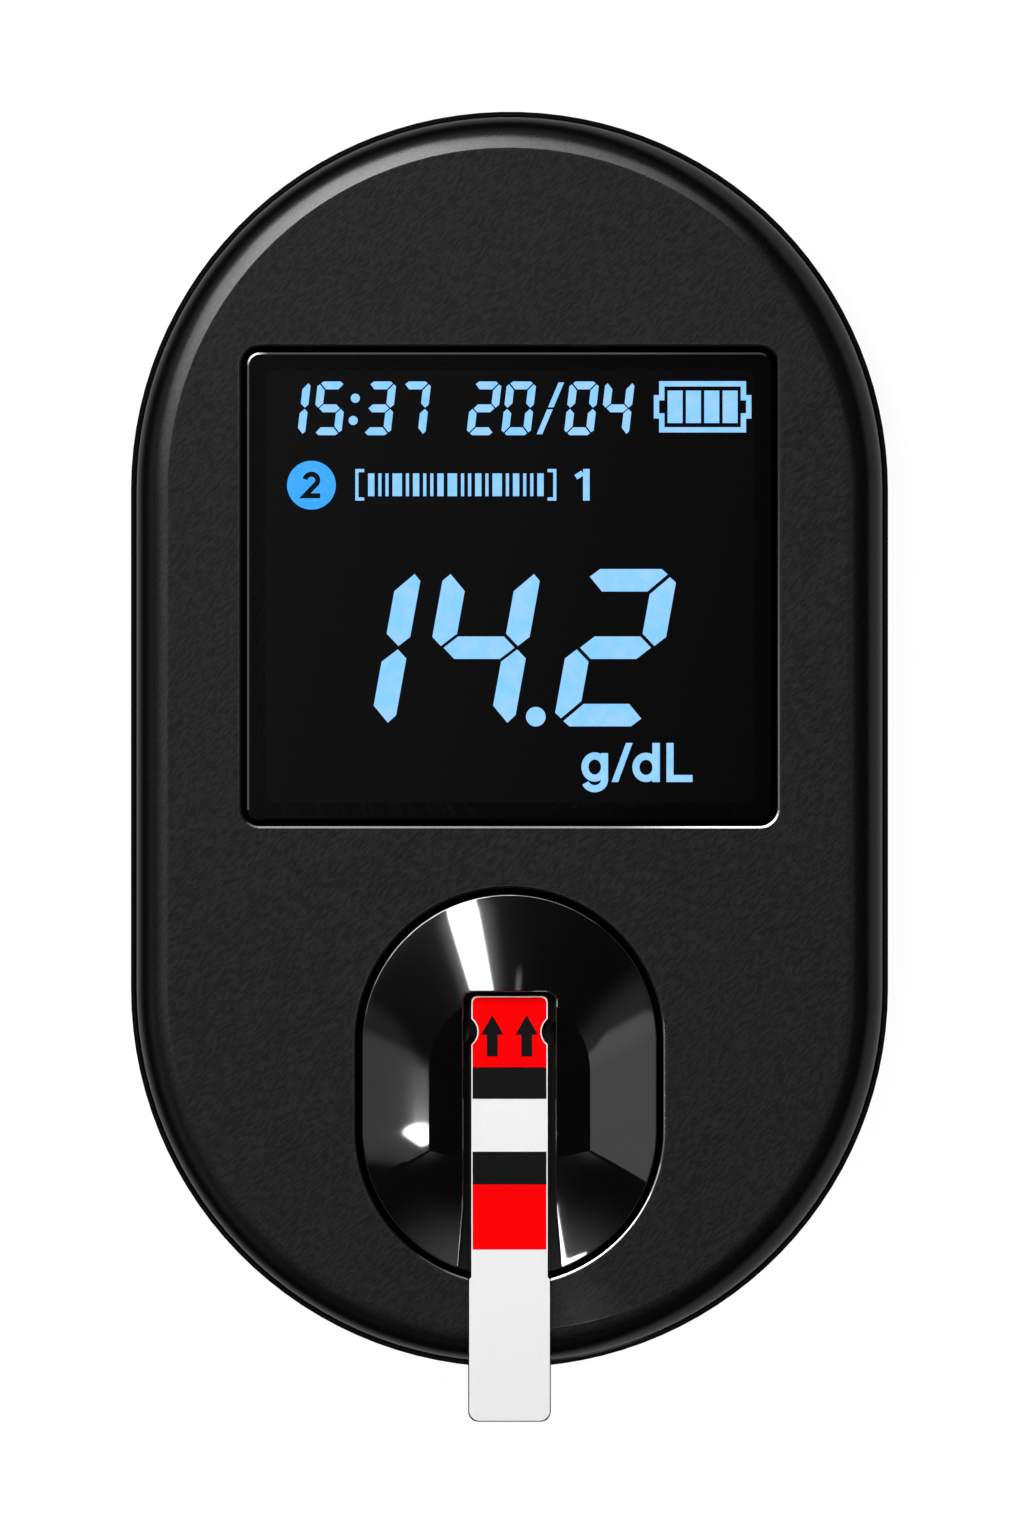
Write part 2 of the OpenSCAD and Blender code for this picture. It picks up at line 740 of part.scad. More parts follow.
// A key: cap through the wall, flange behind it and a post towards the switch.
// sign is 1 for a pointer up, -1 for one down and 0 for a ring.
module key(side, y, sign) {
  mark = 0.15;
  crown = 0.25;
  color([0.06, 0.06, 0.06]) translate([0, y, key_z]) rotate([90, 0, side * 90]) difference() {
    union() {
      translate([0, 0, flange_x - flange_t]) linear_extrude(flange_t)
        polygon(rounded(key_l + 2 * flange_w, key_h + 2 * flange_w, 1));
      translate([0, 0, flange_x - 0.1]) linear_extrude(key_face - crown - flange_x + 0.1)
        polygon(rounded(key_l, key_h, 1));
      hull() {
        translate([0, 0, key_face - crown - 0.01]) linear_extrude(0.01) polygon(rounded(key_l, key_h, 1));
        translate([0, 0, key_face - 0.01]) linear_extrude(0.01)
          polygon(rounded(key_l - 2 * crown, key_h - 2 * crown, 1 - crown));
      }
      translate([0, 0, flange_x - flange_t - post_l]) cylinder(r = 0.9, h = post_l + 0.1);
    }
    if (sign == 0) translate([0, 0, key_face - mark]) difference() {
      cylinder(r = 0.85, h = 1);
      translate([0, 0, -1]) cylinder(r = 0.55, h = 3);
    }
    else translate([0, 0, key_face - mark]) linear_extrude(1)
      polygon([for (a = [0:2]) [side * sign * 0.95 * cos(120 * a), 0.95 * sin(120 * a)]]);
  }
}

module power_button() key(1, power_y, 0);
module up_button() key(-1, up_y, 1);
module down_button() key(-1, down_y, -1);

// Plated shell with its tongue, closed at the back
module charging_port() {
  shell = 0.3;
  back = 1;
  tongue_w = port_w - 2.4;
  translate([0, port_mouth, port_z + port_h / 2]) rotate([90, 0, 0]) {
    color("silver") difference() {
      linear_extrude(port_l) port_outline(0);
      translate([0, 0, -1]) linear_extrude(port_l - back + 1) port_outline(-shell);
    }
    color([0.1, 0.1, 0.1]) translate([-tongue_w / 2, -0.35, 0.8]) cube([tongue_w, 0.7, port_l - back - 0.7]);
  }
}

module battery_cell() {
  color("silver") translate([0, cell_y, 0]) plate(cell_w, cell_l, 2, floor_z + tape_t, cell_t);
}

module battery_tape() {
  color("khaki") for (y = [-1, 1])
    translate([-cell_w / 2 + 2, cell_y + y * cell_l / 4 - 4, floor_z]) cube([cell_w - 4, 8, tape_t]);
}

module battery_lead() {
  z = board_z - 1.6;
  for (i = [0, 1]) color(i ? "red" : "black")
    translate([lead_x + (i - 0.5) * 2, cell_y + cell_l / 2, z]) rotate([-90, 0, 0])
      cylinder(r = 0.5, h = plug_y - cell_y - cell_l / 2);
}

module battery_plug() {
  color("ivory") translate([lead_x - 3, plug_y, board_z - 3]) cube([6, 4.5, 3]);
}

module buzzer() {
  color([0.1, 0.1, 0.1]) translate([0, buzzer_y, board_z - buzzer_h]) difference() {
    cylinder(r = buzzer_r, h = buzzer_h);
    translate([0, 0, -1]) cylinder(r = 1.2, h = 1.6);
  }
}

// A pan head with a cross recess over a plain shank, head down
module screw(r, rh, hh, l) {
  difference() {
    cylinder(r = rh, h = hh);
    for (turn = [0, 90]) rotate(turn) translate([-rh * 0.6, -0.25, -1]) cube([rh * 1.2, 0.5, 1.7]);
  }
  translate([0, 0, hh]) cylinder(r = r, h = l);
}

module case_screws() {
  shank_l = insert_z + insert_l - 1 - head_seat_z;
  color("dimgray") for (p = case_screw_places)
    translate([p[0], p[1], head_seat_z - head_h]) screw(screw_r, head_r, head_h, shank_l);
}

module thread_inserts() {
  color("goldenrod") for (p = case_screw_places)
    translate([p[0], p[1], insert_z]) difference() {
      cylinder(r = insert_r, h = insert_l);
      translate([0, 0, -1]) cylinder(r = screw_r + screw_gap, h = insert_l + 2);
    }
}

module board_screws() {
  head = 1;
  color("silver") for (p = post_places)
    translate([p[0], p[1], board_top + head]) mirror([0, 0, 1])
      screw(board_screw_r, board_head_r, head, board_t + post_bore - 0.7);
}

module tray_screws() {
  color("silver") for (x = [-tray_screw_x, tray_screw_x])
    translate([x, -dome_y, dome_z - tray_head_h]) screw(tray_screw_r, tray_head_r, tray_head_h, tray_screw_l);
}

module rubber_feet() {
  edge = 0.3;
  color([0.2, 0.2, 0.2]) for (p = foot_places) translate([p[0], p[1], 0]) {
    cylinder(r1 = foot_r - edge, r2 = foot_r, h = edge);
    translate([0, 0, edge]) cylinder(r = foot_r, h = foot_h + foot_seat - edge);
  }
}

module rating_label() {
  color("silver") plate(label_w, label_l, label_r, foot_h + 0.05, label_seat - 0.05);
}

// Plan of the strip, shrunk by a on its narrow part and by b on its tail
module strip_plan(a, b) {
  half = strip_w / 2 - a;
  tail = tail_w / 2 - b;
  end_y = tip_y - strip_l + b;
  neck_y = tip_y - narrow_l;
  shoulder_y = neck_y - (tail - half);
  difference() {
    polygon(concat(
      corner(half - tip_r, tip_y - a - tip_r, tip_r, 0),
      corner(tip_r - half, tip_y - a - tip_r, tip_r, 90),
      [[-half, neck_y], [-tail, shoulder_y]],
      corner(tail_r - tail, end_y + tail_r, tail_r, 180),
      corner(tail - tail_r, end_y + tail_r, tail_r, 270),
      [[tail, shoulder_y], [half, neck_y]]
    ));
    for (side = [-1, 1]) notch(side, a);
  }
}

// A half-round notch in the strip's side
module notch(side, a) {
  r = (pow(notch_l / 2, 2) + pow(notch_d, 2)) / (2 * notch_d);
  translate([side * (strip_w / 2 + r - notch_d), tip_y - notch_y]) circle(r + a);
}

module strip_base() {
  color([0.2, 0.2, 0.2]) translate([0, 0, base_z]) linear_extrude(base_t) strip_plan(card_margin, 0);
}

module strip_card() {
  color("white") translate([0, 0, card_z]) linear_extrude(card_t) strip_plan(0, card_margin);
}

// One printed band between two distances from the tip
module band(from, to) {
  translate([0, 0, ink_z]) linear_extrude(ink_t) intersection() {
    strip_plan(ink_margin, 0);
    translate([-strip_w, tip_y - to]) square([2 * strip_w, to - from]);
  }
}

module strip_red_bands() {
  color("red") {
    band(0, band_1);
    band(band_4, band_5);
  }
}

module strip_black_bands() {
  color([0.1, 0.1, 0.1]) {
    band(band_1, band_2);
    band(band_3, band_4);
    for (x = [-arrow_x, arrow_x]) translate([x, tip_y - arrow_tip, ink_z + ink_t]) linear_extrude(ink_t)
      polygon([
        [0, 0], [-arrow_half, -arrow_head], [-shaft_half, -arrow_head], [-shaft_half, -arrow_l],
        [shaft_half, -arrow_l], [shaft_half, -arrow_head], [arrow_half, -arrow_head]
      ]);
  }
}

front_cover();
rear_cover();
mid_band();
display_lens();
lens_adhesive();
display_gasket();
display_panel();
light_guide();
display_frame();
display_ribbon();
strip_dome();
strip_tray();
optical_window();
optics_block();
read_leds();
photodiode();
sensor_board();
board_header();
main_board();
board_chips();
key_switches();
power_button();
up_button();
down_button();
charging_port();
battery_cell();
battery_tape();
battery_lead();
battery_plug();
buzzer();
case_screws();
thread_inserts();
board_screws();
tray_screws();
rubber_feet();
rating_label();
strip_base();
strip_card();
strip_red_bands();
strip_black_bands();
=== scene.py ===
"""Looks of a hand-held hemoglobin meter: grained case, dark display, gloss dome and printed test strip."""

import json
import math

import bmesh
import bpy
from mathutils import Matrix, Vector


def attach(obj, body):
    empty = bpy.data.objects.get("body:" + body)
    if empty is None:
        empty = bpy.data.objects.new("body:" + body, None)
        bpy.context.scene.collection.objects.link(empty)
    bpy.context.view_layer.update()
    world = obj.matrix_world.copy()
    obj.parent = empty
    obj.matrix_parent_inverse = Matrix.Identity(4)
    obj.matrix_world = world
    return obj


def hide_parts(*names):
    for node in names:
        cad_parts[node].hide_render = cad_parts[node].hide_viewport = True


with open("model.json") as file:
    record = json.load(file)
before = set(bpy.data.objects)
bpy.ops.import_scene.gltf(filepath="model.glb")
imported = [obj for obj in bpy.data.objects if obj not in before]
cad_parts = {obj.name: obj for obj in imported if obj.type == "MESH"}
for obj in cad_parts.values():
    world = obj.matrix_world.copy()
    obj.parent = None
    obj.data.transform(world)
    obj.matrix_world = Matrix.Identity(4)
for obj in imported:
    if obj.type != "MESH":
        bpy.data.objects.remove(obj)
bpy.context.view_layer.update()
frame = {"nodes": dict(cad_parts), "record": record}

nodes = frame["nodes"]
MM = 0.001

# Sizes that the pieces share, in millimetres: z from the floor, x and y from the body's middle

# The case, whose outline is two half circles with straight sides between them
CASE_STRAIGHT = 19.75
FACE_Z = 20.0
RECESS_BEVEL = 0.2

# The display panel, the lens above it and the gap between the lens and its recess
PANEL_TOP = 17.3
PANEL_Y = 12.1
LENS_HALF = (20.75, 18.5)
LENS_CORNER = 1.0
LENS_GAP = 0.46

# The dome's recess: two half circles with straight sides between them
RING_Y = -27.4
RING_HALF = 3.5
RING_R = 12.17

# The strip's channel, which widens from FLARE_Y to its mouth
CHANNEL_END = -19.97
CHANNEL_HALF = 3.635
CHANNEL_CORNER = 0.7
CHANNEL_FLARE = 0.46
MOUTH_Y = -42.52
FLARE_Y = -37.02

# The dome: its outline, its heights, and the crease between its nearly flat middle and its flank
DOME_APEX = (0.0, -29.0)
DOME_ARC_TOP = -23.9
DOME_ARC_LOW = -30.9
DOME_R = 12.0
DOME_DRAFT = 0.34
DOME_FOOT = 18.6
DOME_RIM_Z = 20.14
DOME_EDGE_Z = 22.21
DOME_SWELL = 0.1
DOME_BELLY = 0.12
DOME_LIP = 0.12
DOME_EDGE_R = 0.17
CREASE_HALF = 6.38
CREASE_LOW = -33.3
CREASE_BOW = 0.0195


class Wire:
    """A socket that takes part in sums, so that shader maths reads as Python."""

    def __init__(self, tree, socket):
        self.tree = tree
        self.socket = socket

    def maths(self, operation, *values):
        """Adds a Math node of one operation on the values."""
        return self.tree.add("ShaderNodeMath", {"operation": operation}, dict(enumerate(values)))

    def __add__(self, other):
        return self.maths("ADD", self, other)

    __radd__ = __add__

    def __sub__(self, other):
        return self.maths("SUBTRACT", self, other)

    def __rsub__(self, other):
        return self.maths("SUBTRACT", other, self)

    def __mul__(self, other):
        return self.maths("MULTIPLY", self, other)

    __rmul__ = __mul__

    def __pow__(self, other):
        return self.maths("POWER", self, other)

    def __abs__(self):
        return self.maths("ABSOLUTE", self)

    def at_least(self, other):
        """The larger of two values."""
        return self.maths("MAXIMUM", self, other)

    def at_most(self, other):
        """The smaller of two values."""
        return self.maths("MINIMUM", self, other)

    def rise(self, low, high):
        """0 below low, 1 above high and smooth between."""
        return self.tree.add(
            "ShaderNodeMapRange",
            {"interpolation_type": "SMOOTHSTEP"},
            {"Value": self, "From Min": low, "From Max": high},
        )


class Tree:
    """A node tree that is filled through one method."""

    def __init__(self, owner):
        owner.use_nodes = True
        self.nodes = owner.node_tree.nodes
        self.links = owner.node_tree.links
        self.nodes.clear()

    def add(self, kind, settings=None, sockets=None, out=0):
        """Adds a node, first its settings, then its values and links, and gives one of its outputs."""
        node = self.nodes.new(kind)
        for name, value in (settings or {}).items():
            setattr(node, name, value)
        for name, value in (sockets or {}).items():
            if isinstance(value, Wire):
                self.links.new(value.socket, node.inputs[name])
            else:
                node.inputs[name].default_value = value
        return Wire(self, node.outputs[out]) if len(node.outputs) else None

    def place(self, stretch=(1, 1, 1), turn=(0, 0, 0)):
        """The object's own coordinates in millimetres, stretched after a turn."""
        own = self.add("ShaderNodeTexCoord", out="Object")
        angles = tuple(math.radians(angle) for angle in turn)
        turned = self.add("ShaderNodeMapping", None, {"Vector": own, "Rotation": angles})
        scale = tuple(share / MM for share in stretch)
        return self.add("ShaderNodeMapping", None, {"Vector": turned, "Scale": scale})

    def axis(self, vector, letter):
        """One coordinate of a vector."""
        return self.add("ShaderNodeSeparateXYZ", None, {"Vector": vector}, out=letter)

    def noise(self, vector, scale=1.0, detail=2.0, rough=0.5):
        """Soft noise between 0 and 1, of about scale patches to the millimetre."""
        values = {"Vector": vector, "Scale": scale, "Detail": detail, "Roughness": rough}
        return self.add("ShaderNodeTexNoise", None, values, out="Fac")

    def mix(self, factor, first, second):
        """A colour between two."""
        first, second = (c if isinstance(c, Wire) else (*c, 1.0) for c in (first, second))
        return self.add("ShaderNodeMix", {"data_type": "RGBA"}, {0: factor, 6: first, 7: second}, out=2)

    def bump(self, height, depth, edge=0.0):
        """A normal from a height of 0 to 1 that stands for depth millimetres, on edges rounded by edge."""
        sockets = {"Height": height, "Distance": depth * MM}
        if edge:
            sockets["Normal"] = self.add("ShaderNodeBevel", {"samples": 4}, {"Radius": edge * MM})
        return self.add("ShaderNodeBump", None, sockets)

    def surface(self, sockets):
        """The Principled shader that makes the surface."""
        shader = self.add("ShaderNodeBsdfPrincipled", None, sockets)
        self.add("ShaderNodeOutputMaterial", None, {"Surface": shader})


def grey(level):
    """A colour without a hue."""
    return (level, level, level)


def finish(name, recipe):
    """A material whose sockets the recipe gives."""
    material = bpy.data.materials.new(name)
    tree = Tree(material)
    tree.surface(recipe(tree))
    return material


def moulded(colour, rough, depth=0.004, level=0.3, spread=0.04):
    """Plain moulded plastic: a faint orange peel and an uneven sheen."""

    def recipe(tree):
        place = tree.place()
        peel = tree.noise(place, 2.2, 3)
        cloud = tree.noise(place, 0.35, 2)
        dark = tuple(0.85 * c for c in colour)
        return {
            "Base Color": tree.mix(cloud, dark, colour),
            "Roughness": rough + spread * (cloud - 0.5),
            "Specular IOR Level": level,
            "Normal": tree.bump(peel, depth),
        }

    return recipe


def rectangle_far(x, y, half_x, half_y):
    """How far a point lies outside a rectangle, in millimetres."""
    over_x = (abs(x) - half_x).at_least(0)
    over_y = (abs(y) - half_y).at_least(0)
    return (over_x * over_x + over_y * over_y) ** 0.5


# The grain's turn in degrees, its ridges to the millimetre along and across, and how far they wave
GRAIN_TURN = -44
GRAIN_STRETCH = (1.5, 5.2, 5.2)
GRAIN_SWAY = 0.8


def leather_grain(tree):
    """Height of fine wavy ridges that run up to the right, and of the pores between them."""
    along = tree.place(turn=(0, 0, GRAIN_TURN))
    patches = {"Vector": along, "Scale": 0.55, "Detail": 2.0}
    drift = tree.add("ShaderNodeTexNoise", None, patches, out="Color")
    warp = tree.add("ShaderNodeVectorMath", {"operation": "SCALE"}, {0: drift, "Scale": GRAIN_SWAY})
    bent = tree.add("ShaderNodeVectorMath", {"operation": "ADD"}, {0: along, 1: warp})
    long_way = tree.add("ShaderNodeMapping", None, {"Vector": bent, "Scale": GRAIN_STRETCH})
    ridge = tree.noise(long_way, 1.0, 1.5).rise(0.34, 0.66)
    pores = tree.noise(tree.place(), 7.0, 2)
    return ridge * 0.8 + pores * 0.2


# Where the case's finish changes: heights, a stretch of y, and distances from its middle line
FRONT_HEIGHTS = (16.2, 16.8)
BACK_HEIGHTS = (1.2, 3.0)
LOW_END = (-44, -36)
SHEEN_STARTS = (26.9, 27.05)
# Between these distances from the middle line, the rim's outer band darkens: painted shade
RIM_SHADE_STARTS = (27.2, 28.3)
SHEEN_ENDS = (27.9, 28.8)
EDGE_STARTS = (28.9, 29.4)
# All but SHEEN_STARTS lies further in on the right by this much, from x = 0 to 25, so the rim's painted
# shade begins sooner on the right, which faces away from the key lamp
RIGHT_SHIFT = 0.75


def recess_masks(x, y, front):
    """1 inside the two recesses of the front, where black painted shade goes, and 1 on the narrow bevels
    round them.
    """
    flat_x, flat_y = (half - LENS_CORNER for half in LENS_HALF)
    lens_far = rectangle_far(x, y - PANEL_Y, flat_x, flat_y)
    ring_far = rectangle_far(x, y - RING_Y, 0.0, RING_HALF)

    def within(grow, soft):
        lens_r = LENS_CORNER + LENS_GAP + grow
        ring_r = RING_R + grow
        in_lens = 1 - lens_far.rise(lens_r, lens_r + soft)
        in_ring = 1 - ring_far.rise(ring_r, ring_r + soft)
        return in_lens.at_least(in_ring) * front

    # The first mask marks the black painted shade inside the recesses
    recess_shade = within(0.0, 0.02)
    return recess_shade, within(RECESS_BEVEL, 0.04) * (1 - recess_shade)


def rim_coat(out, turned, y, front):
    """Coat of the case: faint on the face, stronger on the rim, less low down, even on the sides."""
    low = 1 - y.rise(*LOW_END)
    sheen = 0.02 + 0.36 * out.rise(*SHEEN_STARTS) * (1 - 0.8 * low)
    rim = turned.rise(*SHEEN_ENDS)
    edge = turned.rise(*EDGE_STARTS)
    return front * (sheen * (1 - rim) + 0.25 * edge) + 0.3 * (1 - front)


def grained_case(tree):
    """Case plastic: matt and grained on the faces, smooth and darker on the sides, with painted shade:
    darker on the rim's outer band and black in the recesses.
    """
    flat = tree.place()
    x, y, z = (tree.axis(flat, letter) for letter in "XYZ")
    front = z.rise(*FRONT_HEIGHTS)
    back = 1 - z.rise(*BACK_HEIGHTS)
    # The recesses get black painted shade and no coat
    recess_shade, bevels = recess_masks(x, y, front)
    out = rectangle_far(x, y, 0.0, CASE_STRAIGHT)
    turned = out + RIGHT_SHIFT * x.rise(0, 25)
    # Painted shade on the rim's outer band, which begins sooner on the right, and the darker sides
    side = turned.rise(*RIM_SHADE_STARTS).at_least(1 - front) * (1 - back)
    height = leather_grain(tree)
    tone = height * 0.8 + tree.noise(flat, 0.22, 2) * 0.2
    shell = tree.mix(tone, (0.0108, 0.0108, 0.011), (0.0232, 0.0232, 0.0234))
    dark_side_and_rim_shade = tree.mix(tone, grey(0.0028), grey(0.0046))
    return {
        # Base colour: black painted shade in the recesses, painted shade on the rim's outer band, and
        # darker sides
        "Base Color": tree.mix(recess_shade, tree.mix(side, shell, dark_side_and_rim_shade), grey(0.0008)),
        "Roughness": 0.45 + 0.1 * height,
        "Specular IOR Level": 0.0,
        "Coat Weight": rim_coat(out, turned, y, front).at_least(bevels) * (1 - recess_shade),
        "Coat Roughness": 0.24,
        "Normal": tree.bump(height, 0.03, 0.1),
    }


def gloss_trim(tree):
    """Polished black band between the covers."""
    place = tree.place()
    haze = tree.noise(place, 0.4, 3)
    return {
        "Base Color": tree.mix(haze, grey(0.0006), grey(0.0012)),
        "Roughness": 0.2 + 0.06 * haze,
        "Specular IOR Level": 0.03,
        "Normal": tree.bump(tree.noise(place, 1.5, 2), 0.001),
    }


def piano_black(tree):
    """Deep gloss: a clear coat with a soft body under it, and hairlines from wiping."""
    place = tree.place()
    haze = tree.noise(place, 0.3, 3)
    hairs = tree.noise(tree.place((0.6, 9.0, 3.0), (0, 0, 31)), 1.0, 3, 0.7)
    return {
        "Base Color": tree.mix(haze, grey(0.0006), grey(0.0012)),
        "Roughness": 0.19 + 0.03 * haze,
        "Specular IOR Level": 0.03,
        "Coat Weight": 0.96 + 0.04 * haze,
        "Coat Roughness": 0.05,
        "Coat IOR": 1.6,
        "Normal": tree.bump(hairs, 0.00006),
    }


def dark_lens(tree):
    """Smoked flat window, polished, with a breath of dust and a painted glow that is lighter towards the
    top left.
    """
    place = tree.place()
    dust = tree.noise(place, 1.7, 4, 0.6)
    # Painted glow of the window, lighter towards the top left, fed to its Emission Color
    haze = (tree.axis(place, "Y") * 0.3 - tree.axis(place, "X")).rise(-37, 48)
    return {
        "Base Color": tree.mix(dust, (0.33, 0.335, 0.34), (0.36, 0.365, 0.37)),
        "Roughness": 0.012 + 0.012 * dust,
        "Transmission Weight": 1.0,
        "IOR": 1.05,
        "Emission Color": tree.mix(haze, grey(0.0015), grey(0.005)),
        "Emission Strength": 1.0,
        "Normal": tree.bump(tree.noise(place, 0.12, 1), 0.0006, 0.08),
    }


def unlit_panel(tree):
    """The display's dark ground, and the black tapes round it."""
    place = tree.place()
    return {
        "Base Color": tree.mix(tree.noise(place, 0.3, 2), grey(0.001), grey(0.002)),
        "Roughness": 0.6 + 0.1 * tree.noise(place, 0.8, 2),
        "Specular IOR Level": 0.0,
        "Normal": tree.bump(tree.noise(place, 4.0, 2), 0.002),
    }


def lit(pale, deep, strength):
    """A lit part of the display: even light, its colour a touch deeper in soft patches."""

    def recipe(tree):
        place = tree.place()
        cloud = tree.noise(place, 0.9, 2).rise(0.3, 0.7)
        return {
            "Base Color": (0.01, 0.02, 0.03, 1.0),
            "Roughness": 0.5,
            "Emission Color": tree.mix(cloud, deep, pale),
            "Emission Strength": strength,
        }

    return recipe


def printed(colour, dark, rough=0.55):
    """Ink on coated card: small mottling and the card's fibres through it."""

    def recipe(tree):
        place = tree.place()
        mottle = tree.noise(place, 6.0, 3, 0.6)
        fibres = tree.noise(tree.place((2.0, 7.0, 4.0), (0, 0, 20)), 1.0, 3, 0.6)
        return {
            "Base Color": tree.mix(mottle.rise(0.25, 0.75), dark, colour),
            "Roughness": rough + 0.1 * mottle,
            "Specular IOR Level": 0.0,
            "Normal": tree.bump(fibres, 0.003),
        }

    return recipe


def brushed(colour, rough, turn=0.0, depth=0.003, fine=12.0):
    """Metal with fine lines along one way."""

    def recipe(tree):
        lines = tree.noise(tree.place((0.4, fine, fine), (0, 0, turn)), 1.0, 3, 0.65)
        dark = tuple(0.78 * c for c in colour)
        return {
            "Base Color": tree.mix(lines, dark, colour),
            "Metallic": 1.0,
            "Roughness": rough + 0.12 * (lines - 0.5),
            "Normal": tree.bump(lines, depth),
        }

    return recipe


def rubber(tree):
    """Soft black rubber with a dusty bloom."""
    place = tree.place()
    bloom = tree.noise(place, 1.1, 4, 0.6).rise(0.35, 0.75)
    return {
        "Base Color": tree.mix(bloom, (0.016, 0.016, 0.016), (0.034, 0.034, 0.033)),
        "Roughness": 0.78 + 0.12 * bloom,
        "Specular IOR Level": 0.2,
        "Normal": tree.bump(tree.noise(place, 9.0, 2), 0.01),
    }


def board_mask(tree):
    """Green solder mask with raised copper tracks under it."""
    place = tree.place()
    x, y = tree.axis(place, "X"), tree.axis(place, "Y")
    bands = {"wave_type": "BANDS", "bands_direction": "DIAGONAL"}
    spread = {"Vector": place, "Scale": 0.28, "Distortion": 2.5, "Detail": 1.0}
    lanes = tree.add("ShaderNodeTexWave", bands, spread, out="Fac")
    track = lanes.rise(0.62, 0.72)
    cells = {"Vector": place, "Scale": 0.38}
    holes = tree.add("ShaderNodeTexVoronoi", {"feature": "F1"}, cells, out="Distance")
    pad = 1 - holes.rise(0.16, 0.2)
    ground = tree.mix(track, (0.006, 0.07, 0.025), (0.012, 0.13, 0.045))
    shade = (x * 0.01 + y * 0.01).rise(-0.6, 0.6)
    return {
        "Base Color": tree.mix(pad, tree.mix(shade * 0.2, ground, (0.004, 0.05, 0.02)), (0.75, 0.6, 0.28)),
        "Metallic": pad,
        "Roughness": 0.32 + 0.1 * tree.noise(place, 2.0, 2),
        "Normal": tree.bump(track.at_least(pad), 0.03),
    }


def crinkled_foil(tree):
    """Pouch foil of the battery cell."""
    place = tree.place()
    cells = {"Vector": place, "Scale": 0.3}
    folds = tree.add("ShaderNodeTexVoronoi", {"feature": "DISTANCE_TO_EDGE"}, cells, out="Distance")
    return {
        "Base Color": tree.mix(tree.noise(place, 0.5, 3), (0.52, 0.52, 0.54), (0.68, 0.68, 0.7)),
        "Metallic": 0.9,
        "Roughness": 0.3 + 0.15 * tree.noise(place, 1.5, 3),
        "Normal": tree.bump(folds.rise(0, 0.2), 0.05),
    }


def clear_resin(colour, clear):
    """Clear or smoked resin with a faint flow pattern."""

    def recipe(tree):
        place = tree.place()
        flow = tree.noise(tree.place((1.0, 3.0, 1.0)), 0.6, 2)
        pale = tuple(min(1.0, 1.12 * c) for c in colour)
        return {
            "Base Color": tree.mix(flow, colour, pale),
            "Roughness": 0.06 + 0.05 * flow,
            "Transmission Weight": clear,
            "Normal": tree.bump(tree.noise(place, 1.2, 2), 0.002),
        }

    return recipe


def flex_film(tree):
    """Amber film with copper lines along it."""
    bands = {"wave_type": "BANDS", "bands_direction": "X"}
    spread = {"Vector": tree.place(), "Scale": 0.6}
    lines = tree.add("ShaderNodeTexWave", bands, spread, out="Fac").rise(0.45, 0.6)
    return {
        "Base Color": tree.mix(lines, (0.32, 0.14, 0.02), (0.6, 0.3, 0.09)),
        "Roughness": 0.3 + 0.1 * lines,
        "Normal": tree.bump(lines, 0.02),
    }


def satin_label(tree):
    """Blank satin film, lightly scuffed."""
    scuff = tree.noise(tree.place((1.0, 6.0, 1.0), (0, 0, 12)), 0.8, 4, 0.65)
    return {
        "Base Color": tree.mix(scuff, (0.31, 0.31, 0.32), (0.38, 0.38, 0.39)),
        "Metallic": 0.4,
        "Roughness": 0.38 + 0.14 * scuff,
        "Normal": tree.bump(scuff, 0.003),
    }


def moulded_edge(tree):
    """The cover's plastic on the edges of its recesses, polished most at the lower right."""
    place = tree.place()
    wear = tree.noise(place, 1.4, 3)
    lower_right = (tree.axis(place, "X") - 0.4 * (tree.axis(place, "Y") + 6.4)).rise(8, 20)
    return {
        "Base Color": tree.mix(wear, grey(0.002), grey(0.003)),
        "Roughness": 0.4 + 0.1 * wear,
        "Specular IOR Level": 0.05,
        "Coat Weight": 0.17 + 0.83 * lower_right,
        "Coat Roughness": 0.1,
        "Coat IOR": 2.2,
        "Normal": tree.bump(tree.noise(place, 3.0, 2), 0.0005),
    }


def polished_edge(tree):
    """The lens's edge, polished most down its left side."""
    place = tree.place()
    left = 1 - tree.axis(place, "X").rise(-20.6, -19.0)
    return {
        "Base Color": tree.mix(tree.noise(place, 1.4, 3), grey(0.0008), grey(0.0015)),
        "Roughness": 0.4,
        "Specular IOR Level": 0.0,
        "Coat Weight": 0.06 + 0.94 * left,
        "Coat Roughness": 0.08,
        "Coat IOR": 1.9,
        "Normal": tree.bump(tree.noise(place, 3.0, 2), 0.0005),
    }


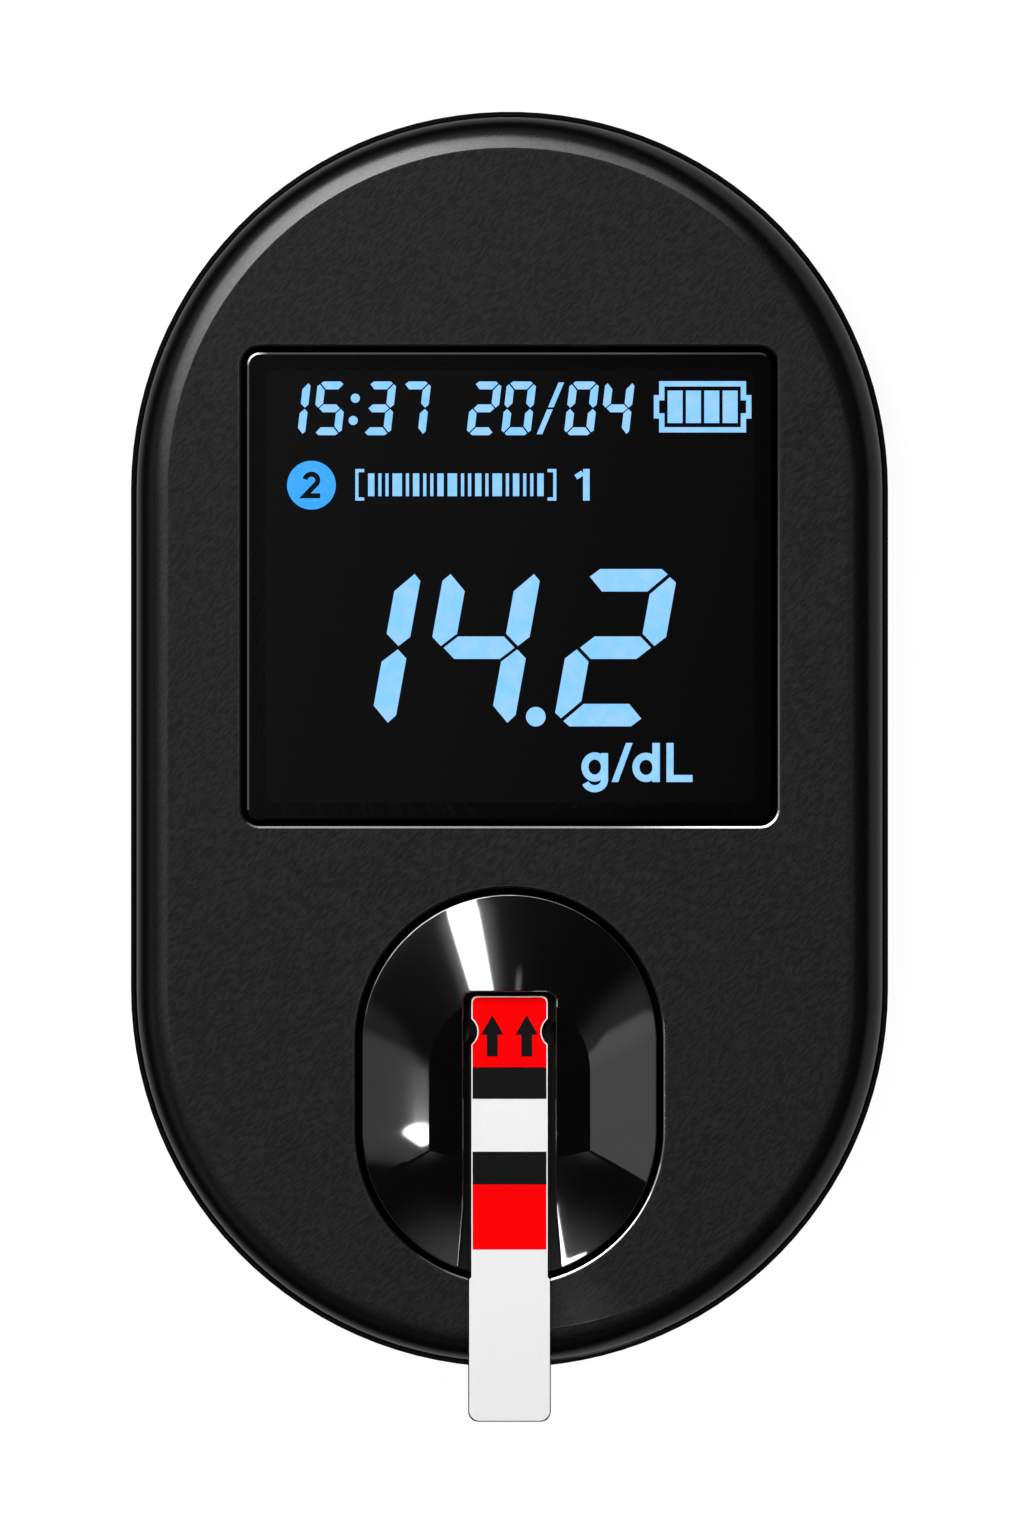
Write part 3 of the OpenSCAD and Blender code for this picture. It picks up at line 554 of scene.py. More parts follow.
FINISHES = {
    "cover_plastic": grained_case,
    "gloss_trim": gloss_trim,
    "lens": dark_lens,
    "adhesive": unlit_panel,
    "foam": unlit_panel,
    "display": unlit_panel,
    "clear_plastic": clear_resin((0.7, 0.75, 0.8), 0.8),
    "white_plastic": moulded((0.75, 0.75, 0.74), 0.45),
    "flex_film": flex_film,
    "gloss_dome": piano_black,
    "tray_plastic": moulded(grey(0.002), 0.5, 0.006, 0.06),
    "window": clear_resin((0.05, 0.055, 0.06), 0.5),
    "lamp": clear_resin((0.8, 0.78, 0.6), 0.7),
    "sensor": clear_resin((0.03, 0.03, 0.05), 0.2),
    "circuit_board": board_mask,
    "black_plastic": moulded(grey(0.012), 0.5),
    "key_plastic": moulded((0.014, 0.014, 0.0145), 0.42, 0.006, 0.35),
    "port_steel": brushed((0.62, 0.62, 0.63), 0.28, 90),
    "cell_pouch": crinkled_foil,
    "wire": moulded((0.3, 0.01, 0.01), 0.35, 0.01),
    "ivory_plastic": moulded((0.75, 0.7, 0.55), 0.45),
    "screw_steel": brushed((0.2, 0.2, 0.21), 0.34, 0, 0.006),
    "brass": brushed((0.7, 0.5, 0.2), 0.3, 0, 0.01, 6.0),
    "foot_rubber": rubber,
    "label_film": satin_label,
    "strip_film": moulded(grey(0.002), 0.4, 0.002, 0.05),
    "strip_card": printed(grey(0.87), grey(0.84)),
    "red_ink": printed((0.98, 0.002, 0.003), (0.93, 0.001, 0.002)),
    "black_ink": printed(grey(0.0105), grey(0.0075)),
}
SHARP_ANGLE = math.radians(32)


def dress_cad_nodes():
    """Gives each CAD node the finish of its slot."""
    finishes = {}
    for part in frame["record"]["subparts"]:
        slot = part["material_slot"]
        if slot not in finishes:
            finishes[slot] = finish(slot, FINISHES[slot])
        node = nodes[part["node"]]
        node.data.materials.clear()
        node.data.materials.append(finishes[slot])
        node.data.shade_smooth()
        node.data.set_sharp_from_angle(angle=SHARP_ANGLE)
    return finishes


def put(name, data):
    """A new object in the scene."""
    thing = bpy.data.objects.new(name, data)
    bpy.context.scene.collection.objects.link(thing)
    return thing


def new_piece(name, mesh, material):
    """Puts a finished mesh on the case."""
    piece = put(name, mesh)
    mesh.materials.clear()
    mesh.materials.append(material)
    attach(piece, "case")
    return piece


def mesh_from(name, made):
    """The mesh that was built, ready for an object."""
    mesh = bpy.data.meshes.new(name)
    made.to_mesh(mesh)
    made.free()
    return mesh


def smooth_mesh(name, made, join, sharp):
    """A smooth mesh. Points nearer than join millimetres are one, and edges above an angle are sharp."""
    bmesh.ops.remove_doubles(made, verts=made.verts, dist=join * MM)
    bmesh.ops.recalc_face_normals(made, faces=made.faces)
    mesh = mesh_from(name, made)
    mesh.shade_smooth()
    mesh.set_sharp_from_angle(angle=math.radians(sharp))
    return mesh


# A display plate's thickness, and the distance below which two of its points become one
PLATE = 0.02
PLATE_JOIN = 0.004


def display_plates(name, shapes, z, material):
    """One piece of thin plates on the display panel, each a list of points in millimetres."""
    made = bmesh.new()
    for shape in shapes:
        made.faces.new([made.verts.new((x * MM, y * MM, z * MM)) for x, y in shape])
    bmesh.ops.remove_doubles(made, verts=made.verts, dist=PLATE_JOIN * MM)
    bmesh.ops.recalc_face_normals(made, faces=made.faces)
    for face in made.faces:
        if face.normal.z > 0:
            face.normal_flip()
    bmesh.ops.solidify(made, geom=made.faces[:], thickness=PLATE * MM)
    new_piece(name, mesh_from(name, made), material)


def arc(x, y, rx, ry, start, end, steps):
    """Points of an arc, angles in degrees anticlockwise from +X."""
    angles = [math.radians(start + (end - start) * i / steps) for i in range(steps + 1)]
    return [(x + rx * math.cos(angle), y + ry * math.sin(angle)) for angle in angles]


def disc(x, y, radius, steps=40):
    """Points of a whole circle."""
    return arc(x, y, radius, radius, 0, 360 - 360 / steps, steps - 1)


def upright(left, low, wide, tall):
    """The four corners of an upright rectangle."""
    return [(left, low), (left + wide, low), (left + wide, low + tall), (left, low + tall)]


SHARPEST_MITRE = 0.3


def ribbon(path, width, closed=False):
    """Quads along a path, mitred where it turns."""
    count = len(path)
    left, right = [], []
    for i, (x, y) in enumerate(path):
        before = path[i - 1] if closed or i > 0 else None
        after = path[(i + 1) % count] if closed or i < count - 1 else None
        ways = []
        if before:
            ways.append(Vector((x - before[0], y - before[1])).normalized())
        if after:
            ways.append(Vector((after[0] - x, after[1] - y)).normalized())
        way = sum(ways, Vector((0, 0))).normalized()
        reach = width / 2 / max(way.dot(ways[0]), SHARPEST_MITRE)
        left.append((x - way.y * reach, y + way.x * reach))
        right.append((x + way.y * reach, y - way.x * reach))
    last = count if closed else count - 1
    return [[left[i], right[i], right[(i + 1) % count], left[(i + 1) % count]] for i in range(last)]


# The lit bars of each figure: a top, b and c right, d bottom, e and f left, g middle
LIT_BARS = {"0": "abcdef", "1": "bc", "2": "abged", "3": "abgcd", "4": "fgbc", "5": "afgcd", "7": "abc"}
# An upright bar's side, its half (1 for the upper), and the level bar that it meets there
POSTS = {"b": (1, 1, "a"), "c": (1, -1, "d"), "e": (-1, -1, "d"), "f": (-1, 1, "a")}
# A level bar's half, and the upright bars that it meets on the left and on the right
BEAMS = {"a": (1, "f", "b"), "d": (-1, "e", "c")}
# The slanted cut off a figure's corner, as shares of a level bar's thickness
CUT_X = 0.74
CUT_Y = 0.6
# How much longer an upright bar is at an end that meets no other, as a share of that thickness
FREE_UPPER = 0.14
FREE_LOWER = 0.2


def post_shape(half, bar, post, gap, free):
    """An upright bar of the upper right quarter, whose upper end is longer by free.

    Its corners lie at shares of a level bar's thickness, bar, and of an upright one's, post.
    """
    right, top = half
    cut_x, cut_y = CUT_X * bar, CUT_Y * bar
    return [
        (right - cut_x / 2 + gap / 2, top - cut_y / 2 - gap / 2 + free),
        (right, top - cut_y + free / 2),
        (right, 0.48 * bar),
        (right - 0.42 * post, 0.6 * gap),
        (right - post, bar / 2 + gap),
        (right - post, top - bar - gap + free),
    ]


def beam_end(half, bar, post, gap, free):
    """The right end of the top bar, from its upper edge to its lower edge."""
    right, top = half
    if free:
        tip = (right - 0.45 * bar, top - 0.34 * bar)
        return [(right - 0.85 * bar, top), tip, (right - post - 0.3 * gap, top - bar)]
    cut_x, cut_y = CUT_X * bar, CUT_Y * bar
    tip = (right - cut_x / 2 - gap / 2, top - cut_y / 2 + gap / 2)
    return [(right - cut_x, top), tip, (right - post - gap, top - bar)]


def middle_shape(half, bar, post, gap):
    """The middle bar, pointed at both ends."""
    tip = half[0] - post / 2 - 0.4 * gap
    shoulder = half[0] - post - 0.6 * gap
    upper = [(tip, 0), (shoulder, bar / 2), (-shoulder, bar / 2)]
    return upper + [(-px, -py) for px, py in upper]


def bar_shape(letter, lit_bars, half, bar, post, gap):
    """One bar of an upright figure, round the figure's middle."""
    if letter in POSTS:
        across, up, meets = POSTS[letter]
        longer = FREE_UPPER if up > 0 else FREE_LOWER
        free = 0.0 if meets in lit_bars else longer * bar
        return [(px * across, py * up) for px, py in post_shape(half, bar, post, gap, free)]
    if letter in BEAMS:
        up, left, right = BEAMS[letter]
        ends = [beam_end(half, bar, post, gap, side not in lit_bars) for side in (right, left)]
        shape = ends[0] + [(-px, py) for px, py in reversed(ends[1])]
        return [(px, py * up) for px, py in shape]
    return middle_shape(half, bar, post, gap)


def figure(sign, x, y, wide, tall, bar, post, gap, lean):
    """The lit bars of one figure, made of up to seven bars and leaning to the right."""
    half = (wide / 2, tall / 2)
    lit_bars = LIT_BARS[sign]
    shapes = [bar_shape(letter, lit_bars, half, bar, post, gap) for letter in lit_bars]
    return [[(x + px + py * lean, y + py) for px, py in shape] for shape in shapes]


# Rows of the display, in millimetres from the middle of the body
SMALL_ROW = {"y": 26.2, "wide": 2.32, "tall": 4.25, "bar": 0.625, "post": 0.61, "gap": 0.08, "lean": 0.115}
LARGE_ROW = {"y": 7.26, "wide": 7.7, "tall": 12.45, "bar": 1.78, "post": 1.91, "gap": 0.22, "lean": 0.18}
CLOCK = [("1", -17.11), ("5", -14.24), ("3", -10.34), ("7", -7.59)]
DATE = [("2", -2.01), ("0", 0.73), ("0", 5.7), ("4", 8.515)]
READING = [("1", -11.86), ("4", -2.41), ("2", 8.39)]
COLON = [(-12.2, 27.0), (-12.37, 25.24)]
COLON_R = 0.36
POINT = (2.08, 1.8)
POINT_R = 0.775
SLASH = [(2.37, 24.15), (3.2, 26.12), (3.27, 26.28), (4.1, 28.25)]
SLASH_W = 0.44
BADGE = (-15.67, 20.12)
BADGE_R = 1.93

# The battery sign: its middle, half its outline, its nubs and its bars
BATTERY = (15.28, 26.32)
BATTERY_HALF = (3.23, 1.82)
BATTERY_STROKE = 0.42
NUB_OUT = 0.42
NUB_HALF = 0.72
CHARGE_BAR = (1.19, 2.57)
CHARGE_PITCH = 1.451

# The code sign: its left end, its lower and upper edge, and its bars' widths in units
CODE_LEFT = -12.2
CODE_LOW = 18.9
CODE_HIGH = 21.4
CODE_UNIT = 0.25
CODE_GAP = 0.31
CODE_INSET = 0.35
CODE_WIDTHS = [2, 1, 1, 3, 1, 2, 1, 1, 2, 3, 1, 1, 2, 1, 3, 1, 2, 1, 1, 2]
BRACKET = 0.7
ONE_LEFT = 5.82
ONE_W = 0.52
ONE_FLAG = [(5.25, 20.75), (5.8, 21.1), (6.08, 21.36)]
ONE_FLAG_W = 0.42

# The unit's letters: their strokes, their base line, the top of the tall ones, and the middle and
# half width of the round parts of g and d
UNIT_W = 0.56
UNIT_BASE = -3.37
UNIT_TOP = -0.275
ROUND_HALF = 0.88
G_ROUND = (6.745, -2.18, 0.775)
G_TOP = -1.08
G_HOOK = -3.2
G_TAIL = 0.7
UNIT_SLASH = (8.08, 9.22)
UNIT_SLASH_W = 0.52
D_ROUND = (10.8, -2.21, 0.8)
D_STEM_W = 0.59
L_ENDS = (12.7, 14.48)


def battery_sign():
    """Outline with a nub at both ends, and four bars."""
    x, y = BATTERY
    half_x, half_y = BATTERY_HALF
    lower = [(half_x, -half_y), (half_x, -NUB_HALF), (half_x + NUB_OUT, -NUB_HALF)]
    right = lower + [(px, -py) for px, py in reversed(lower)]
    outline = right + [(-px, -py) for px, py in right]
    shapes = ribbon([(x + px, y + py) for px, py in outline], BATTERY_STROKE, closed=True)
    bar_w, bar_h = CHARGE_BAR
    for i in range(4):
        left = x + (i - 1.5) * CHARGE_PITCH - bar_w / 2
        shapes.append(upright(left, y - bar_h / 2, bar_w, bar_h))
    return shapes


def slanted(low, high, width):
    """A bar with level ends, from the middle of its lower end to the middle of its upper end."""
    left, right = ([(x + side * width / 2, y) for x, y in (low, high)] for side in (-1, 1))
    return [left[0], right[0], right[1], left[1]]


def code_sign():
    """A row of bars of different widths between two brackets, and a plain figure one."""
    shapes = []
    bars = sum(CODE_WIDTHS) * CODE_UNIT + (len(CODE_WIDTHS) - 1) * CODE_GAP
    first = CODE_LEFT + BRACKET + CODE_GAP
    low, high = CODE_LOW + CODE_UNIT / 2, CODE_HIGH - CODE_UNIT / 2
    for side, x in ((1, CODE_LEFT), (-1, first + bars + CODE_GAP + BRACKET)):
        arm, back = x + side * BRACKET, x + side * CODE_UNIT / 2
        shapes += ribbon([(arm, low), (back, low), (back, high), (arm, high)], CODE_UNIT)
    x = first
    tall = CODE_HIGH - CODE_LOW - 2 * CODE_INSET
    for width in CODE_WIDTHS:
        shapes.append(upright(x, CODE_LOW + CODE_INSET, width * CODE_UNIT, tall))
        x += width * CODE_UNIT + CODE_GAP
    shapes += ribbon(ONE_FLAG, ONE_FLAG_W)[:1]
    shapes.append(upright(ONE_LEFT, CODE_LOW, ONE_W, CODE_HIGH - CODE_LOW))
    return shapes


def round_stroke(x, y, half):
    """The closed round part of a letter."""
    return ribbon(arc(x, y, half, ROUND_HALF, 0, 360, 36)[:-1], UNIT_W, closed=True)


def unit_sign():
    """The unit: gram per decilitre, in plain round strokes."""
    shapes = round_stroke(*G_ROUND)
    middle, _, half = G_ROUND
    hook = arc(middle, G_HOOK, half, G_TAIL, 0, -160, 14)
    shapes += ribbon([(middle + half, G_TOP)] + hook, UNIT_W)
    low, high = ((x + UNIT_SLASH_W / 2, y) for x, y in zip(UNIT_SLASH, (UNIT_BASE, UNIT_TOP)))
    shapes.append(slanted(low, high, UNIT_SLASH_W))
    shapes += round_stroke(*D_ROUND)
    stem = D_ROUND[0] + D_ROUND[2]
    shapes += ribbon([(stem, UNIT_BASE), (stem, UNIT_TOP)], D_STEM_W)
    left, right = L_ENDS
    foot = UNIT_BASE + UNIT_W / 2
    shapes += ribbon([(left, UNIT_TOP), (left, foot), (right, foot)], UNIT_W)
    return shapes


def lit_shapes():
    """Outlines of everything that is lit in the light tone."""
    shapes = [shape for sign, x in CLOCK + DATE for shape in figure(sign, x, **SMALL_ROW)]
    shapes += [shape for sign, x in READING for shape in figure(sign, x, **LARGE_ROW)]
    shapes += [disc(x, y, COLON_R) for x, y in COLON]
    shapes += [disc(*POINT, POINT_R)]
    slashes = [slanted(*SLASH[:2], SLASH_W), slanted(*SLASH[2:], SLASH_W)]
    return shapes + battery_sign() + slashes + code_sign() + unit_sign()


def badge_two():
    """The round badge's figure two."""
    x, y = BADGE
    bow = arc(x, y + 0.4, 0.5, 0.47, 172, -34, 16)
    return ribbon(bow + [(x - 0.52, y - 0.84), (x + 0.7, y - 0.84)], 0.4)


def lit_display():
    """The lit figures and signs, the lit badge, and the dark figure on the badge."""
    light = finish("lit_figures", lit((0.30, 0.58, 1.0), (0.22, 0.56, 1.0), 3.3))
    blue = finish("lit_badge", lit((0.055, 0.40, 1.0), (0.04, 0.37, 1.0), 3.1))
    dark = finish("badge_figure", moulded((0.002, 0.006, 0.02), 0.6))
    display_plates("display_figures", lit_shapes(), PANEL_TOP, light)
    display_plates("display_badge", [disc(*BADGE, BADGE_R, 64)], PANEL_TOP, blue)
    display_plates("badge_figure", badge_two(), PANEL_TOP + PLATE, dark)


# Least distance that is divided by
TINY = 1e-6


def rim_reach(ux, uy, inset=0.0):
    """Distance from the dome's apex to its outline, drawn in by inset, along a direction."""
    radius = DOME_R - inset
    if abs(ux) > TINY:
        reach = radius / abs(ux)
        if DOME_ARC_LOW <= DOME_APEX[1] + uy * reach <= DOME_ARC_TOP:
            return reach
    shift = (DOME_ARC_TOP if uy > 0 else DOME_ARC_LOW) - DOME_APEX[1]
    return uy * shift + math.sqrt((uy * shift) ** 2 + radius ** 2 - shift ** 2)


def crease_reach(ux, uy):
    """Distance from the apex to the crease: a round top, straight sides and two corners at the bottom."""
    if uy >= 0:
        return rim_reach(ux, uy) * CREASE_HALF / DOME_R
    drop = DOME_APEX[1] - CREASE_LOW
    bow = CREASE_BOW * ux ** 2
    below = 2 * drop / (-uy + math.sqrt(uy ** 2 + 4 * bow * drop))
    return min(below, CREASE_HALF / max(abs(ux), TINY))


def dome_height(x, y):
    """Height of the dome: a nearly flat middle, a crease, and a flank that falls to the rim."""
    dx, dy = x - DOME_APEX[0], y - DOME_APEX[1]
    far = max(math.hypot(dx, dy), TINY)
    crease = crease_reach(dx / far, dy / far)
    if far <= crease:
        return DOME_EDGE_Z + DOME_SWELL * (1 - (far / crease) ** 2)
    down = (far - crease) / (rim_reach(dx / far, dy / far) - crease)
    return DOME_EDGE_Z - (DOME_EDGE_Z - DOME_RIM_Z) * (down * (1 - DOME_BELLY) + down ** 2 * DOME_BELLY)


# Steps of the dome's mesh: along the channel's wall, its corners and its end, and then across,
# round the lip, over the middle, down the flank and round the outer edge
WALL_STEPS = 220
CORNER_STEPS = 10
END_STEPS = 24
LIP_STEPS = 14
MIDDLE_STEPS = 3
FLANK_STEPS = 8
EDGE_STEPS = 14
# Where the wall meets the dome's outline at the mouth, and how far the mesh stays inside it
MOUTH_MEETS = -41.3
MOUTH_INSET = 0.2
# The gap between the channel's liner and the dome, the plain wall below the lip, and the least
# distances that keep the sections' points apart
LINER_GAP = 0.02
LIP_WALL = 0.3
LEAST_MIDDLE = 0.01
LEAST_TOP = 0.02


def channel_edge(grow):
    """The channel's edge moved out by grow: up the right wall, round the end and down the left."""
    half, end = CHANNEL_HALF + grow, CHANNEL_END + grow
    corner = CHANNEL_CORNER + grow

    def wall_x(y):
        return half + CHANNEL_FLARE * max(0.0, (FLARE_Y - y) / (FLARE_Y - MOUTH_Y))

    low = DOME_ARC_LOW - math.sqrt((DOME_R - DOME_DRAFT) ** 2 - wall_x(MOUTH_MEETS) ** 2) + MOUTH_INSET
    right = []
    for i in range(WALL_STEPS):
        y = low + (end - corner - low) * i / WALL_STEPS
        right.append((wall_x(y), y))
    right += arc(half - corner, end - corner, corner, corner, 0, 90, CORNER_STEPS)
    flat = [((half - corner) * (1 - 2 * i / END_STEPS), end) for i in range(1, END_STEPS)]
    return right + flat + [(-x, y) for x, y in reversed(right)]


def off_apex(ux, uy, far):
    """The place at a distance from the apex along a direction."""
    return (DOME_APEX[0] + ux * far, DOME_APEX[1] + uy * far)


def on_dome(ux, uy, far):
    """The point of the dome's top at a distance from the apex along a direction."""
    place = off_apex(ux, uy, far)
    return (*place, dome_height(*place))


def rim_slope(ux, uy):
    """The angle at which the flank falls where it meets the outline, square to the outline."""
    reach = rim_reach(ux, uy)
    x, y = off_apex(ux, uy, reach)
    centre = min(max(y, DOME_ARC_LOW), DOME_ARC_TOP)
    square = (x * ux * reach + (y - centre) * uy * reach) / DOME_R
    fall = (DOME_EDGE_Z - DOME_RIM_Z) * (1 + DOME_BELLY) / (reach - crease_reach(ux, uy))
    return math.atan(fall * reach / square)


def dome_lip(i, rows):
    """The channel's wall and the rounded lip above it, at one point of the channel's edge."""
    inner = rows[0][i]
    low = dome_height(*rows[-1][i]) - DOME_LIP
    section = [(*inner, DOME_FOOT), (*inner, low - LIP_WALL)]
    for k, row in enumerate(rows):
        section.append((*row[i], low + DOME_LIP * math.sin(math.pi / 2 * k / LIP_STEPS)))
    return section


def dome_top(ux, uy, far, stop):
    """Points from the lip over the crease and down the flank."""
    bend = min(max(crease_reach(ux, uy), far + LEAST_MIDDLE), stop)
    middle = [far + (bend - far) * k / MIDDLE_STEPS for k in range(1, MIDDLE_STEPS + 1)]
    flank = [bend + (stop - bend) * k / FLANK_STEPS for k in range(1, FLANK_STEPS + 1)]
    return [on_dome(ux, uy, away) for away in middle + flank]


def edge_reach(ux, uy, turn):
    """Distance from the apex to the rounded outer edge where it has turned down by turn."""
    return rim_reach(ux, uy, DOME_DRAFT + DOME_EDGE_R * (1 - math.sin(turn)))


def dome_edge(ux, uy, stop, top, slope):
    """The rounded outer edge, and the foot of the wall below it."""
    middle = top - DOME_EDGE_R * math.cos(slope)
    section = []
    for k in range(1, EDGE_STEPS + 1):
        turn = slope + (math.pi / 2 - slope) * k / EDGE_STEPS
        away = max(edge_reach(ux, uy, turn), stop)
        section.append((*off_apex(ux, uy, away), middle + DOME_EDGE_R * math.cos(turn)))
    return section + [(*off_apex(ux, uy, rim_reach(ux, uy)), DOME_FOOT)]


def dome_section(i, rows):
    """One section of the dome along its ray, from the channel's wall over the top to the rim's foot."""
    x, y = rows[-1][i]
    dx, dy = x - DOME_APEX[0], y - DOME_APEX[1]
    far = math.hypot(dx, dy)
    ux, uy = dx / far, dy / far
    slope = rim_slope(ux, uy)
    stop = max(edge_reach(ux, uy, slope), far + LEAST_TOP)
    top = dome_top(ux, uy, far, stop)
    return dome_lip(i, rows) + top + dome_edge(ux, uy, stop, top[-1][2], slope)


def gloss_dome(material):
    """The raised gloss insert, open at the channel."""
    turns = [math.pi / 2 * k / LIP_STEPS for k in range(LIP_STEPS + 1)]
    rows = [channel_edge(LINER_GAP + DOME_LIP * (1 - math.cos(turn))) for turn in turns]
    sections = [dome_section(i, rows) for i in range(len(rows[0]))]
    made = bmesh.new()
    rings = [[made.verts.new([c * MM for c in point]) for point in section] for section in sections]
    count = len(rings[0])
    for first, second in zip(rings, rings[1:]):
        for k in range(count):
            made.faces.new([first[k], second[k], second[(k + 1) % count], first[(k + 1) % count]])
    made.faces.new(rings[0])
    made.faces.new(rings[-1][::-1])
    mesh = smooth_mesh("gloss_dome", made, join=0.002, sharp=8)
    piece = new_piece("gloss_dome", mesh, material)
    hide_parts("strip_dome")


# The liner's walls: above this height they end this far below the dome's top, and points this near
# to the channel's side are on them
TRAY_TOPS = FACE_Z + 0.3
TRAY_BELOW = 0.55
NEARLY = 0.01


def channel_tray(material):
    """The channel's liner, whose walls end under the dome's lip."""
    mesh = nodes["strip_tray"].data.copy()
    mesh.name = "channel_tray"
    for vertex in mesh.vertices:
        x, y, z = (c / MM for c in vertex.co)
        on_wall = abs(x) > CHANNEL_HALF - NEARLY or y > CHANNEL_END - CHANNEL_CORNER
        if z > TRAY_TOPS and on_wall:
            vertex.co.z = min(z, dome_height(x, y) - TRAY_BELOW) * MM
    piece = new_piece("channel_tray", mesh, material)
    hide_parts("strip_tray")


# The four corners of an outline, anticlockwise: their sides and the angle at which each begins
CORNERS = ((1, 1, 0), (-1, 1, 90), (-1, -1, 180), (1, -1, 270))
RING_CORNER_STEPS = 40


def rounded_outline(half_x, half_y, corner, middle_y):
    """A rectangle round (0, middle_y) with rounded corners, anticlockwise."""
    points = []
    for across, along, start in CORNERS:
        x = across * (half_x - corner)
        y = middle_y + along * (half_y - corner)
        points += arc(x, y, corner, corner, start, start + 90, RING_CORNER_STEPS)
    return points


def edge_ring(name, outline, profile, material):
    """A closed ring: a profile of (distance out of the outline, height) pairs, carried round it."""
    half_x, half_y, corner, y = outline
    made = bmesh.new()
    rings = []
    for out, z in profile:
        path = rounded_outline(half_x + out, half_y + out, corner + out, y)
        rings.append([made.verts.new((px * MM, py * MM, z * MM)) for px, py in path])
    for first, second in zip(rings, rings[1:] + rings[:1]):
        for k in range(len(first)):
            after = (k + 1) % len(first)
            made.faces.new([first[k], first[after], second[after], second[k]])
    new_piece(name, smooth_mesh(name, made, join=0.0005, sharp=40), material)


# The edges' slope, the radius of the nose at its foot, their lap over the face, the steps of each
# round, and how far the edges of the cover and of the lens stand above the face
EDGE_TILT = math.radians(26)
NOSE = 0.03
LAP = 0.01
ROUND_STEPS = 6
COVER_PROUD = 0.016
LENS_PROUD = 0.008


def lead_in(top, wide, crown=0.06, foot=0.3):
    """Section of an edge that falls inwards: a small crown, a sloped flat, a rounded nose and a wall."""
    lean = math.sin(EDGE_TILT)
    section = [(wide + crown * lean + LAP, top - foot)]
    for k in range(ROUND_STEPS + 1):
        turn = EDGE_TILT * k / ROUND_STEPS
        section.append((wide + crown * (lean - math.sin(turn)), top - crown * (1 - math.cos(turn))))
    flat_end = NOSE * (1 - lean)
    x, z = section[-1]
    flat_low = z - (x - flat_end) * math.tan(EDGE_TILT)
    section.append((flat_end, flat_low))
    low = flat_low - NOSE * math.cos(EDGE_TILT)
    for k in range(1, ROUND_STEPS + 1):
        turn = EDGE_TILT + (math.pi / 2 - EDGE_TILT) * k / ROUND_STEPS
        section.append((NOSE * (1 - math.sin(turn)), low + NOSE * math.cos(turn)))
    section.append((0.0, top - foot))
    return section


def recess_edges(material):
    """The soft edges of the two recesses in the front cover."""
    half_x, half_y = (half + LENS_GAP for half in LENS_HALF)
    window = (half_x, half_y, LENS_CORNER + LENS_GAP, PANEL_Y)
    edge_ring("lens_recess_edge", window, lead_in(FACE_Z + COVER_PROUD, 0.16), material)
    ring = (RING_R, RING_HALF + RING_R, RING_R, RING_Y)
    edge_ring("dome_recess_edge", ring, lead_in(FACE_Z + COVER_PROUD, 0.12), material)


def lens_edge(material):
    """The polished edge of the lens, which falls outwards."""
    section = [(-out, z) for out, z in lead_in(FACE_Z + LENS_PROUD, 0.15, 0.03, 0.2)]
    edge_ring("lens_edge", (*LENS_HALF, LENS_CORNER, PANEL_Y), section, material)


# The photograph is close to a flat projection, so the camera stands far off with a long lens. The
# span is the photograph's height at the view's level. The lens and the film are in millimetres.
VIEW_CENTRE = (0.198 * MM, -2.26 * MM)
VIEW_LENS = 1000.0
FILM = 36.0
VIEW_SPAN = 121.74 * MM
VIEW_LEVEL = 11.8 * MM


def photo_camera():
    """The photograph's view, straight down on the display."""
    data = bpy.data.cameras.new("photo_camera")
    data.lens = VIEW_LENS
    data.sensor_width = FILM
    data.clip_start = 0.1
    data.clip_end = 20.0
    camera = put("photo_camera", data)
    camera.location = (*VIEW_CENTRE, VIEW_LEVEL + VIEW_SPAN / FILM * VIEW_LENS)
    bpy.context.scene.camera = camera


# What the soft boxes are aimed at
BODY = (0.0, 0.0, 18 * MM)
DOME = (0.0, -28 * MM, 21 * MM)
# An area lamp of this many watts to the square metre has a level of 1
WATTS = 4
BOX = "RECTANGLE"
OVAL = "ELLIPSE"
# The long box round the top left, piece by piece: azimuth, lowest and highest polar angle, level
LONG_BOX = [
    (-76, 44, 70, 2.4), (-64, 42, 74, 6.0), (-52, 40, 78, 10.0), (-40, 38, 80, 14.0), (-28, 38, 80, 17.0),
    (-16, 38, 78, 17.0), (-4, 42, 74, 11.0), (8, 44, 70, 6.5), (20, 46, 68, 4.5), (32, 48, 64, 2.5),
]
LONG_HALF = 6.2
LONG_REACH = 0.45
# The other boxes and cards that only gloss sees, aimed at the dome: azimuths, polar angles, level,
# shape, and the share of the width over which they fade
CARDS = [
    ("narrow_box", (-26.2, -12.2), (20, 40), 24.0, BOX, 0.0),
    ("narrow_box_halo", (-35, -3), (20, 41), 2.6, BOX, 0.5),
    ("left_card", (-106, -82), (34, 52), 0.36, BOX, 0.2),
    ("left_dim_card", (-104, -70), (34, 52), 0.14, BOX, 0.25),
    ("left_flame", (-96.2, -91.6), (35.9, 40), 24.0, OVAL, 0.0),
    ("right_card", (74, 118), (32, 49), 0.8, BOX, 0.08),
    ("right_dim_card", (55, 94), (25, 49), 0.22, BOX, 0.4),
    ("top_flame", (3.5, 8.5), (24, 28.2), 1.2, OVAL, 0.3),
]
CARD_REACH = 0.5
# Level lamps close above the dome, in millimetres: middle, size, turn in degrees, level and fade
NEAR_BOXES = [
    ("low_card", (0, -52.3, 36), (42, 19.6), 0, 0.6, 0.36),
    ("low_flame", (5.97, -46.12, 35), (2.0, 6.3), 13, 24.0, 0.0),
    ("low_flame_foot", (7.7, -49.75, 34.5), (5.8, 3.4), 0, 24.0, 0.0),
]


